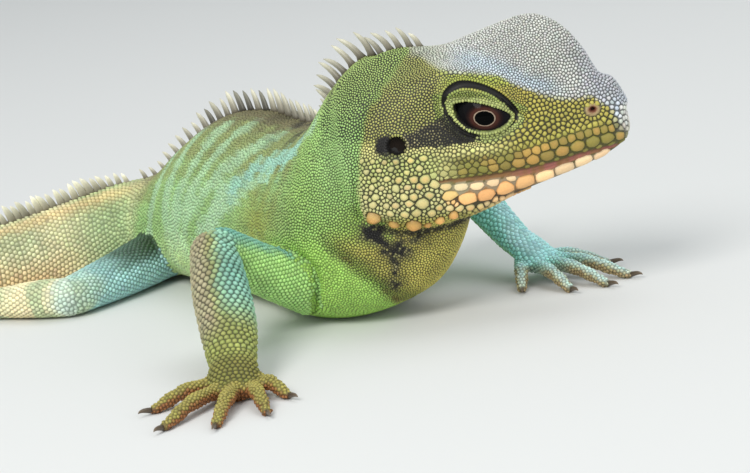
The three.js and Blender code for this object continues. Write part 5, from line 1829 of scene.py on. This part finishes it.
    def shapes(self, chosen: Array, template: Template) -> tuple[Array, Array, Array]:
        """Corners, colours and unwrapped offsets of the chosen scales, with a row to each scale."""
        s = self.seeds
        kinds = [KINDS[k].value for k in s.kind[chosen]]
        rise, flat, tilt, keel, cover = (
            np.array([getattr(kind, name) for kind in kinds])[:, None]
            for name in ("rise", "flat", "tilt", "keel", "cover"))
        limit, turn = self.reach(chosen, template.sides)
        limit = limit * cover
        half = limit.mean(axis=1, keepdims=True)
        c, n = np.cos(turn), np.sin(turn)
        back = c[None, :]
        place, normal = s.place[chosen][:, None], self.normal[chosen][:, None]
        ways = self.along[chosen][:, None] * c[:, None] + self.across[chosen][:, None] * n[:, None]
        corners, shades, offsets = [], [], []
        last = len(template.rings) - 1
        for number, (share, height) in enumerate(template.rings):
            share = share if number < last else share * flat / self.USUAL_FLAT
            out = limit * share * (1 + (tilt / 3 * back if number else 0))
            if number == 0:
                lift = np.broadcast_to(-self.SUNK * half, out.shape)
            else:
                lift = half * (rise * height + tilt * share * (0.35 + back) + keel * np.abs(back) ** 6)
            spot = place + ways * out[..., None]
            if template is FINE:
                spot = self.skin.settle(spot.reshape(-1, 3)).reshape(spot.shape)
            corners.append(spot + normal * lift[..., None])
            # the edge ring takes the gap's darkening, partly painted shade, and the side rings take painted
            # shade
            light = self.gap[chosen, None] if number == 0 else (self.SIDE_LIGHT if number < last else 1.0)
            shades.append(np.broadcast_to(light, out.shape))
            spread = limit / limit.max(axis=1, keepdims=True) * share
            offsets.append(np.stack([c, n], axis=-1)[None] * spread[..., None])
        top = place + normal * (half * (rise + tilt * 0.35 + keel * 1.3))[..., None]
        corners.append(top)
        # the scale's middle point takes a painted highlight
        shades.append(np.full((len(chosen), 1), self.TOP_LIGHT))
        offsets.append(np.zeros((len(chosen), 1, 2)))
        shade = np.concatenate(shades, axis=1)[..., None]
        middle = np.zeros((1, shade.shape[1], 1))
        middle[:, last * template.sides:] = 0.7
        middle[:, -1] = 1.0
        colour = self.colour[chosen][:, None] * (1 - middle) + self.core[chosen][:, None] * middle
        colour = colour * self.tone[chosen][:, None] * shade
        return np.concatenate(corners, axis=1), colour, np.concatenate(offsets, axis=1)

    def build(self, material: bpy.types.Material) -> None:
        """Makes the coat's pieces."""
        names = self.names
        limb = np.array([name.rsplit("_", 1)[0] if name[-1].isdigit() else name for name in names])
        aside = np.where(names == "head", to_head(self.seeds.place)[:, 1], self.chart_around - 0.5)
        for piece in COAT_PIECES:
            mine = np.isin(limb, piece.lofts)
            if piece.lofts == ("body",):
                mine &= (self.chart_along >= piece.start) & (self.chart_along < piece.stop)
            if piece.side:
                mine &= (aside >= 0) == (piece.side > 0)
            self.piece(piece, np.flatnonzero(mine), material)

    def piece(self, plan: CoatPiece, mine: Array, material: bpy.types.Material) -> None:
        """Makes one piece of the coat."""
        fine = self.seeds.are(Kind.PLATE, Kind.JAW_PLATE, Kind.TUBERCLE, Kind.CONE)[mine]
        plain = self.seeds.are(Kind.PEBBLE, Kind.FLAKE)[mine]
        parts, colours, maps = [], [], []
        for chosen, template in ((mine[~fine & ~plain], COARSE), (mine[plain], PLAIN), (mine[fine], FINE)):
            if not len(chosen):
                continue
            corners, colour, offset = self.shapes(chosen, template)
            firsts = np.arange(len(chosen)) * corners.shape[1]
            faces = (template.faces()[None] + firsts[:, None, None]).reshape(-1, 3)
            parts.append((corners.reshape(-1, 3), faces))
            colours.append(colour.reshape(-1, 3))
            maps.append((self.roots(chosen)[:, None] + offset * self.UV_REACH).reshape(-1, 2))
        points, faces = joined_meshes(parts)
        piece = make_object(plan.name, points, faces, material, "skin")
        set_markings(piece.data, np.concatenate(colours))
        layer = piece.data.uv_layers.new(name="OFBake")
        layer.data.foreach_set("uv", np.concatenate(maps)[faces.ravel()].astype(np.float32).ravel())

    def roots(self, chosen: Array) -> Array:
        """Each scale's place on an unwrap of the lofts, which lie in bands one above the other."""
        charts = self.chart[chosen]
        present = [k for k in range(len(self.skin.tubes)) if (charts == k).any()]
        tall = np.array([self.skin.girth[k] for k in present])
        edges = np.concatenate([[0], np.cumsum(tall / tall.sum())])
        spots = np.zeros((len(chosen), 2))
        for band, k in enumerate(present):
            here = charts == k
            along = self.chart_along[chosen][here]
            low, high = along.min(), max(along.max(), along.min() + 1e-3)
            across = 0.03 + 0.94 * self.chart_around[chosen][here]
            spots[here, 0] = 0.01 + 0.98 * (along - low) / (high - low)
            spots[here, 1] = edges[band] + (edges[band + 1] - edges[band]) * across
        return 0.004 + 0.992 * spots


# ---------------------------------------------------------------- crest, eyes, ears and claws


@dataclass(frozen=True)
class CrestPlan:
    """One crest: where it runs along the spine, its spines' heights along the way, and how they lean."""

    name: str
    start: float
    stop: float
    pitch: tuple[tuple[float, float], ...]  # share along the crest, distance to the next spine
    heights: tuple[tuple[float, float], ...]
    base: float  # half the length of a spine's root, as a share of its height
    lean: float  # degrees
    light: float = 1.0  # how pale its spines are
    dark: float = 0.0  # share of its spines that are dark


CRESTS = (
    CrestPlan("crest_nape", 0.42, 4.15, ((0, 2.3), (0.4, 2.9), (1, 2.4)),
              ((0, 3.4), (0.06, 5.2), (0.3, 6.4), (0.45, 7.0), (0.6, 7.4), (0.75, 6.6), (0.88, 5.0),
               (1, 2.0)), 0.125, 42),
    CrestPlan("crest_back", 4.35, 9.35, ((0, 4.6), (0.4, 4.2), (1, 3.0)),
              ((0, 3.6), (0.12, 5.6), (0.6, 6.2), (1, 3.0)), 0.2, 34, light=1.15, dark=0.22),
    CrestPlan("crest_tail", 9.6, 31.0, ((0, 2.1), (0.3, 2.2), (1, 3.0)),
              ((0, 3.0), (0.04, 5.0), (0.3, 4.4), (0.6, 2.5), (1, 0.6)), 0.22, 26, light=1.5),
)
CREST_PALE, CREST_BROWN = np.array([0.6, 0.58, 0.45]), np.array([0.075, 0.06, 0.038])


class Crest:
    """A crest of separate spines, each rooted on the skin."""

    SIDES, STATIONS = 8, 6
    DARK = 0.4  # the lightness of a dark spine
    ROOT_DEPTH = 0.5  # how deep in the skin a spine begins

    def __init__(self, skin: Skin, plan: CrestPlan) -> None:
        """Keeps the skin and the plan."""
        self.skin, self.plan = skin, plan

    def build(self, material: bpy.types.Material) -> None:
        """Makes the crest's spines as one piece."""
        random = np.random.default_rng(SEED + 50)
        spine = self.skin.tubes[1].shape
        t = np.linspace(self.plan.start, self.plan.stop, 900)
        heading, _, dorsal, _, _ = spine.section(t)
        run = run_along(dorsal)
        here, parts, colours = 0.8, [], []
        while here < run[-1]:
            share = here / run[-1]
            i = int(np.searchsorted(run, here))
            tall = number_at(self.plan.heights, share) * (1 + 0.1 * random.normal())
            above = Vector(dorsal[i] + (0, 0, 14.0))
            hit, normal, _, _ = self.skin.tree.ray_cast(above, Vector((0, 0, -1)))
            root = np.array(hit) if hit else dorsal[i]
            up = unit(np.array(normal) * 0.5 + np.array([0, 0, 0.5]))
            back = unit(-heading[i] - up * np.dot(-heading[i], up))
            lean = self.plan.lean + 4 * random.normal()
            corners, triangles, tint = self.spine(root, up, back, np.cross(up, back), tall, lean)
            parts.append((corners, triangles))
            tint = tint * (1 + 0.13 * random.normal())
            colours.append(tint * (self.DARK if random.random() < self.plan.dark else 1.0))
            here += number_at(self.plan.pitch, share) * (1 + 0.05 * random.normal())
        name = self.plan.name
        piece = make_object(name, *joined_meshes(parts), material, "crest", (name,))
        set_markings(piece.data, np.concatenate(colours))

    def spine(self, root: Array, up: Array, back: Array, side: Array, tall: float,
              lean: float) -> tuple[Array, Array, Array]:
        """One flattened spine that curves back, with its colours."""
        s = np.linspace(0, 1, self.STATIONS)
        turn = np.radians(lean) * (0.35 + s)
        pace = tall / (self.STATIONS - 1) * 1.12
        moves = (up[None] * np.cos(turn)[:, None] + back[None] * np.sin(turn)[:, None]) * pace
        start = root - up * self.ROOT_DEPTH
        middle = start + np.concatenate([np.zeros((1, 3)), np.cumsum(moves[:-1], axis=0)])
        long = max(tall * self.plan.base, 0.7) * (1 - 0.5 * s) * (1 - s**5) ** 0.6
        long = long * (1 + 0.5 * (s == 0)) + 0.1
        thick = max(tall * 0.11, 0.42) * (1 - 0.5 * s) * (1 - s**5) ** 0.5 + 0.08
        along = np.cross(side[None], moves / pace)
        angle = turns(self.SIDES)
        rings = (middle[:, None] + along[:, None] * (long[:, None] * np.cos(angle))[..., None]
                 + side * (thick[:, None] * np.sin(angle))[..., None])
        points, faces = closed_tube(rings)
        edge = np.abs(np.cos(angle))[None, :] ** 2
        pale = np.clip(1.15 * s[:, None] ** 1.3 + 0.4 * edge * (0.1 + s[:, None]), 0, 1)[..., None]
        colour = (CREST_BROWN + (CREST_PALE - CREST_BROWN) * pale).reshape(-1, 3)
        return points, faces, np.concatenate([colour, [CREST_BROWN, CREST_PALE]]) * self.plan.light


HEAD_SIDES = (("left", 1), ("right", -1))


def paired(rings: Array, kind: str, slot: str, word: str, side: int,
           material: bpy.types.Material) -> tuple[bpy.types.Object, Array]:
    """One of a pair on the head's sides, closed over its rings, and its corners in the head's frame."""
    local, faces = closed_tube(rings if side < 0 else rings[:, ::-1])
    name = f"{kind}_{word}"
    return make_object(name, from_head(local), faces, material, slot, (name,)), local


class Eyes:
    """Both eyeballs."""

    SLANT, ROUNDING = -10.0, 1.36  # how the pupil lies, in degrees, and its length for its height

    def build(self, material: bpy.types.Material) -> None:
        """Makes a ball with a slight bulge over the pupil for each side."""
        (tall, deep), angle, around = EYE.ball, np.linspace(0, math.pi, 49)[1:-1, None], turns(72)
        x = tall * np.sin(angle) * np.cos(around) + EYE.centre[0]
        z = tall * np.sin(angle) * np.sin(around) + EYE.centre[2]
        bulge = 0.45 * hill(np.hypot(x - EYE.pupil[0], z - EYE.pupil[1]), 3.2) * (np.cos(angle) > 0)
        aside = EYE.centre[1] + deep * np.cos(angle) + bulge
        c, s = cos_sin(self.SLANT)
        for word, side in HEAD_SIDES:
            ball, local = paired(np.stack([x, side * aside, z], axis=-1), "eye", "eye", word, side, material)
            ahead, above = local[:, 0] - EYE.pupil[0], local[:, 2] - EYE.pupil[1]
            place = np.column_stack([ahead * c + above * s, self.ROUNDING * (above * c - ahead * s),
                                     np.zeros(len(local))])
            attribute = ball.data.attributes.new("eye_place", "FLOAT_VECTOR", "POINT")
            attribute.data.foreach_set("vector", place.astype(np.float32).ravel())


class Ears:
    """Both eardrums, a little hollow."""

    # Rings from the back over the rim to the hollow front: share of the radius, how far out
    PROFILE = ((0.9, 0.0), (1.0, 0.12), (0.97, 0.3), (0.75, 0.14), (0.45, 0.02), (0.2, -0.03))

    def build(self, material: bpy.types.Material) -> None:
        """Makes a lens-shaped disc at the bottom of each ear."""
        share, high = np.array(self.PROFILE).T[..., None]
        around = turns(36)
        x = EAR_CENTRE[0] + EAR_RADIUS * share * np.cos(around)
        z = EAR_CENTRE[1] + EAR_RADIUS * share * np.sin(around)
        aside = EAR_FLOOR - 0.4 + np.broadcast_to(high, x.shape)
        for word, side in HEAD_SIDES:
            paired(np.stack([x, side * aside, z], axis=-1), "ear", "eardrum", word, side, material)


class Claws:
    """Every claw: a hooked, flattened cone on each digit's tip."""

    LENGTH, RADIUS, FLATNESS, CURVE = 3.5, 0.68, 0.62, 1.35
    RINGS, AROUND = 9, 12
    COLOUR = np.array([0.16, 0.115, 0.07])

    def build(self, material: bpy.types.Material) -> None:
        """Makes each claw where its solid is."""
        s, angle, up = np.linspace(0, 1, self.RINGS), turns(self.AROUND), np.array([0, 0, 1.0])
        size = self.RADIUS * (1 - s) ** 0.72 + 0.05
        shade = np.concatenate([np.repeat(0.35 + 0.65 * s, self.AROUND), [0.35, 1.0]])[:, None]
        for name, k in ((name, k) for name in DIGIT_PLANS for k in DIGITS):
            joints, way = digit_joints(name, k)
            x, y, z, radius, _ = joints[-1]
            ahead = np.array([math.cos(way), math.sin(way), 0])
            side = np.array([-ahead[1], ahead[0], 0])
            out = radius * 0.35 + self.LENGTH * np.sin(s * self.CURVE) / math.sin(self.CURVE)
            rise = 0.62 * np.sin(s * math.pi * 0.75) - (z - 0.55) * s**2.2 + 0.1
            middle = np.array([x, y, z]) + ahead * out[:, None] + up * rise[:, None]
            rings = (middle[:, None] + side * (self.FLATNESS * size[:, None] * np.cos(angle))[..., None]
                     + up * (size[:, None] * np.sin(angle))[..., None])
            title = f"claw_{name}_{k + 1}"
            piece = make_object(title, *closed_tube(rings), material, "claw", (title,))
            set_markings(piece.data, shade * self.COLOUR + 0.01)


# ---------------------------------------------------------------- materials


@dataclass(frozen=True)
class Finish:
    """How a surface reflects."""

    name: str
    roughness: float
    grain: float = 0.0  # strength of the fine relief
    mottle: float = 0.0  # how much the colour varies
    specular: float = 0.5


def add_node(tree: bpy.types.ShaderNodeTree, kind: str, inputs: dict[str | int, object] | None = None,
             **settings: object) -> bpy.types.Node:
    """A new node in a tree.

    Args:
        tree: the tree.
        kind: the node's type, without its ShaderNode prefix.
        inputs: for each input a socket that feeds it, or its value.
        settings: the node's own properties.
    """
    node = tree.nodes.new(f"ShaderNode{kind}")
    for key, value in settings.items():
        setattr(node, key, value)
    for key, value in (inputs or {}).items():
        if isinstance(value, bpy.types.NodeSocket):
            tree.links.new(value, node.inputs[key])
        else:
            node.inputs[key].default_value = value
    return node


def make_group(name: str, sockets: Sequence[tuple[str, str, str]],
               fill: Callable[[bpy.types.ShaderNodeTree, bpy.types.Node], bpy.types.NodeSocket]
               ) -> bpy.types.ShaderNodeTree:
    """A node group.

    Args:
        name: its name.
        sockets: name, INPUT or OUTPUT, and type of each, the only output last.
        fill: makes its nodes, given the group and its input node, and returns what goes to the output.
    """
    group = bpy.data.node_groups.new(name, "ShaderNodeTree")
    for title, way, kind in sockets:
        group.interface.new_socket(title, in_out=way, socket_type=f"NodeSocket{kind}")
    given, out = group.nodes.new("NodeGroupInput"), group.nodes.new("NodeGroupOutput")
    group.links.new(fill(group, given), out.inputs[sockets[-1][0]])
    return group


MOTTLE_FINENESS, GRAIN_FINENESS, GRAIN_DEPTH = 2600, 3200, 0.0001


def fine_mottle() -> bpy.types.ShaderNodeTree:
    """A group that varies a colour's lightness in fine flecks."""
    def fill(group: bpy.types.ShaderNodeTree, given: bpy.types.Node) -> bpy.types.NodeSocket:
        noise = add_node(group, "TexNoise", {"Scale": MOTTLE_FINENESS, "Detail": 3,
                                             "Vector": given.outputs["Position"]})
        centred = add_node(group, "Math", {0: noise.outputs["Fac"], 1: 0.5}, operation="SUBTRACT")
        scaled = add_node(group, "Math", {0: centred.outputs[0], 1: given.outputs["Amount"], 2: 1},
                          operation="MULTIPLY_ADD")
        tint = add_node(group, "VectorMath", operation="SCALE",
                        inputs={0: given.outputs["Color"], "Scale": scaled.outputs[0]})
        return tint.outputs[0]

    return make_group("FineMottle", (("Color", "INPUT", "Color"), ("Position", "INPUT", "Vector"),
                                     ("Amount", "INPUT", "Float"), ("Color", "OUTPUT", "Color")), fill)


def skin_grain() -> bpy.types.ShaderNodeTree:
    """A group that gives the normal of a finely grained surface."""
    def fill(group: bpy.types.ShaderNodeTree, given: bpy.types.Node) -> bpy.types.NodeSocket:
        noise = add_node(group, "TexNoise", {"Scale": GRAIN_FINENESS, "Detail": 2,
                                             "Vector": given.outputs["Position"]})
        bump = add_node(group, "Bump", {"Distance": GRAIN_DEPTH, "Strength": given.outputs["Strength"],
                                        "Height": noise.outputs["Fac"]})
        return bump.outputs["Normal"]

    return make_group("SkinGrain", (("Position", "INPUT", "Vector"), ("Strength", "INPUT", "Float"),
                                    ("Normal", "OUTPUT", "Vector")), fill)


# The eye's colours: distance from the middle of the pupil, and the colour there
EYE_STOPS = (
    (0.0, (0.001, 0.001, 0.001)), (2.36, (0.001, 0.001, 0.001)), (2.42, (0.03, 0.018, 0.012)),
    (2.52, (0.40, 0.32, 0.24)), (2.64, (0.30, 0.21, 0.15)), (2.78, (0.05, 0.018, 0.013)),
    (3.2, (0.062, 0.022, 0.016)), (3.9, (0.020, 0.010, 0.009)), (4.6, (0.008, 0.007, 0.008)),
    (8.0, (0.010, 0.012, 0.013)))


class Materials:
    """Every material of the model."""

    def __init__(self) -> None:
        """Makes the shared groups and the materials."""
        self.mottle, self.grain = fine_mottle(), skin_grain()
        self.skin = self.marked(Finish("skin", 0.6, grain=0.4, mottle=0.2))
        self.scales = self.marked(Finish("scales", 0.46, grain=0.25, mottle=0.3, specular=0.42))
        self.crest = self.marked(Finish("crest", 0.45, grain=0.2, mottle=0.25))
        self.claw = self.marked(Finish("claw", 0.3, grain=0.1, mottle=0.2))
        self.ear = self.marked(Finish("eardrum", 0.65, grain=0.5, mottle=0.5, specular=0.12),
                               (0.014, 0.009, 0.006, 1))
        self.eye = self.iris(Finish("eye", 0.08, specular=0.045))

    @staticmethod
    def base(finish: Finish) -> tuple[bpy.types.Material, bpy.types.ShaderNodeTree, bpy.types.Node]:
        """A material with its nodes and its shader."""
        material = bpy.data.materials.new(finish.name)
        material.use_nodes = True
        shader = material.node_tree.nodes["Principled BSDF"]
        shader.inputs["Roughness"].default_value = finish.roughness
        shader.inputs["Specular IOR Level"].default_value = finish.specular
        return material, material.node_tree, shader

    def marked(self, finish: Finish, colour: tuple[float, ...] | None = None) -> bpy.types.Material:
        """A grained and mottled material, of one colour or else coloured by the piece's markings."""
        material, tree, shader = self.base(finish)
        place = add_node(tree, "TexCoord").outputs["Object"]
        grain = add_node(tree, "Group", node_tree=self.grain,
                         inputs={"Strength": finish.grain, "Position": place})
        if colour is None:
            colour = add_node(tree, "Attribute", attribute_name="markings").outputs["Color"]
        mottle = add_node(tree, "Group", node_tree=self.mottle,
                          inputs={"Amount": finish.mottle, "Position": place, "Color": colour})
        tree.links.new(grain.outputs["Normal"], shader.inputs["Normal"])
        tree.links.new(mottle.outputs["Color"], shader.inputs["Base Color"])
        return material

    def iris(self, finish: Finish) -> bpy.types.Material:
        """The eye: black pupil, pale ring, red-brown iris and dark white."""
        material, tree, shader = self.base(finish)
        place = add_node(tree, "Attribute", attribute_name="eye_place").outputs["Vector"]
        far = add_node(tree, "VectorMath", {0: place}, operation="LENGTH")
        flecks = add_node(tree, "TexNoise", {"Scale": 1.6, "Detail": 3, "Vector": place})
        wobble = add_node(tree, "Math", {0: flecks.outputs["Fac"], 1: 0.35, 2: far.outputs["Value"]},
                          operation="MULTIPLY_ADD")
        reach = EYE_STOPS[-1][0]
        share = add_node(tree, "Math", {0: wobble.outputs[0], 1: reach}, operation="DIVIDE")
        ramp = add_node(tree, "ValToRGB", {"Fac": share.outputs[0]})
        elements = ramp.color_ramp.elements
        while len(elements) < len(EYE_STOPS):
            elements.new(0.5)
        for element, (distance, colour) in zip(elements, EYE_STOPS):
            element.position = distance / reach
            element.color = (*colour, 1)
        tree.links.new(ramp.outputs["Color"], shader.inputs["Base Color"])
        return material


# ---------------------------------------------------------------- studio


class Studio:
    """A pale floor, soft lights and the camera."""

    CAMERA_PLACE = (0.024, -0.598, 0.13731)
    PITCH, ROLL, LENS = 12.0, 7.5, 114.21
    FLOOR_SIZE = 8.0
    # Name, place, aim, size, watts and tint
    LIGHTS = (
        ("key", (-0.5, -0.95, 1.0), (-0.03, 0, 0.03), 0.7, 12.5, (1.0, 0.985, 0.96)),
        ("top", (0.35, 0.25, 1.3), (0, 0.03, 0), 0.9, 3.5, (0.96, 0.985, 1.0)),
        ("fill", (0.9, -1.0, 0.45), (0, 0, 0.03), 1.0, 3.5, (1.0, 1.0, 1.0)),
    )

    def build(self) -> None:
        """Sets the stage."""
        self.floor()
        self.lights()
        self.camera()

    def floor(self) -> None:
        """A plain pale floor."""
        half = self.FLOOR_SIZE / 2
        mesh = bpy.data.meshes.new("floor")
        corners = [(-half, -half, 0), (half, -half, 0), (half, half, 0), (-half, half, 0)]
        mesh.from_pydata(corners, [], [(0, 1, 2, 3)])
        floor = add_object("floor", mesh)
        material = bpy.data.materials.new("floor")
        material.use_nodes = True
        shader = material.node_tree.nodes["Principled BSDF"]
        shader.inputs["Base Color"].default_value = (0.72, 0.73, 0.72, 1)
        shader.inputs["Roughness"].default_value = 0.85
        mesh.materials.append(material)

    def lights(self) -> None:
        """A soft key from above the viewer's left, a broad fill from the right, and a pale room."""
        for name, place, aim, size, watts, tint in self.LIGHTS:
            data = bpy.data.lights.new(name, "AREA")
            data.shape, data.size, data.energy, data.color = "DISK", size, watts, tint
            lamp = add_object(name, data)
            lamp.location = place
            lamp.rotation_euler = (Vector(aim) - Vector(place)).to_track_quat("-Z", "Y").to_euler()
        world = bpy.data.worlds.new("room")
        world.use_nodes = True
        background = world.node_tree.nodes["Background"]
        background.inputs["Color"].default_value = (0.80, 0.83, 0.85, 1)
        background.inputs["Strength"].default_value = 0.7
        bpy.context.scene.world = world

    def camera(self) -> None:
        """The camera, which looks a little down at the animal's right side and is rolled a little."""
        data = bpy.data.cameras.new("camera")
        data.lens, data.sensor_width, data.sensor_fit = self.LENS, 36.0, "HORIZONTAL"
        data.clip_start, data.clip_end = 0.02, 20.0
        camera = add_object("camera", data)
        pitch, roll = math.radians(self.PITCH), math.radians(self.ROLL)
        ahead = Vector((0, math.cos(pitch), -math.sin(pitch)))
        upright = Vector((0, math.sin(pitch), math.cos(pitch)))
        right = Vector((math.cos(roll), 0, 0)) - upright * math.sin(roll)
        up = upright * math.cos(roll) + Vector((math.sin(roll), 0, 0))
        turn = Matrix((right, up, -ahead)).transposed()
        camera.matrix_world = Matrix.Translation(self.CAMERA_PLACE) @ turn.to_4x4()
        bpy.context.scene.camera = camera


# ---------------------------------------------------------------- assembly


BARE_LIGHT = 0.8  # how light the skin is beside the gaps round the scales, darkened partly as painted shade


def build_skin(skin: Skin, coat: Coat, material: bpy.types.Material) -> None:
    """Makes the skin's piece, with the markings under the scales."""
    tree = tree_of(coat.seeds.place)
    nearest = np.array([tree.find(p)[1] for p in skin.points.tolist()])
    # the skin between scales takes the gap's darkening: its own darker colour and painted shade
    bare = coat.colour[nearest] * (coat.gap[nearest, None] * BARE_LIGHT)
    local = to_head(skin.points)
    in_head = (local[:, 0] > -8) & (skin.points[:, 2] > 18)
    bare[in_head] = Markings.bare(local[in_head], bare[in_head])
    mesh = skin.mesh
    mesh.name = "skin"
    set_points(mesh, (skin.points - BELLY_FLAT) * MM)
    mesh.shade_smooth()
    mesh.materials.clear()
    mesh.materials.append(material)
    mesh.update()
    set_markings(mesh, bare)
    replaced = ["head", "jaw", "neck", "trunk", "hips"]
    replaced += [f"tail_{i}" for i in range(1, 6)] + list(LIMB_JOINTS)
    piece = add_object("skin", mesh)
    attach(piece, ROOT)
    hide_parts(*replaced)
    log.info("skin: %d triangles", len(skin.triangles))


def main() -> None:
    """Builds the model and its stage."""
    logging.basicConfig(level=logging.INFO, format="%(name)s: %(message)s")
    bpy.context.scene.view_settings.view_transform = "Standard"
    materials = Materials()
    skin = Skin()
    seeds = Sower(skin).sow()
    log.info("%d scales", len(seeds.place))
    coat = Coat(skin, Markings(skin.tubes), seeds)
    coat.build(materials.scales)
    build_skin(skin, coat, materials.skin)
    for plan in CRESTS:
        Crest(skin, plan).build(materials.crest)
    Eyes().build(materials.eye)
    Ears().build(materials.ear)
    Claws().build(materials.claw)
    Studio().build()


if __name__ == "__main__":
    main()
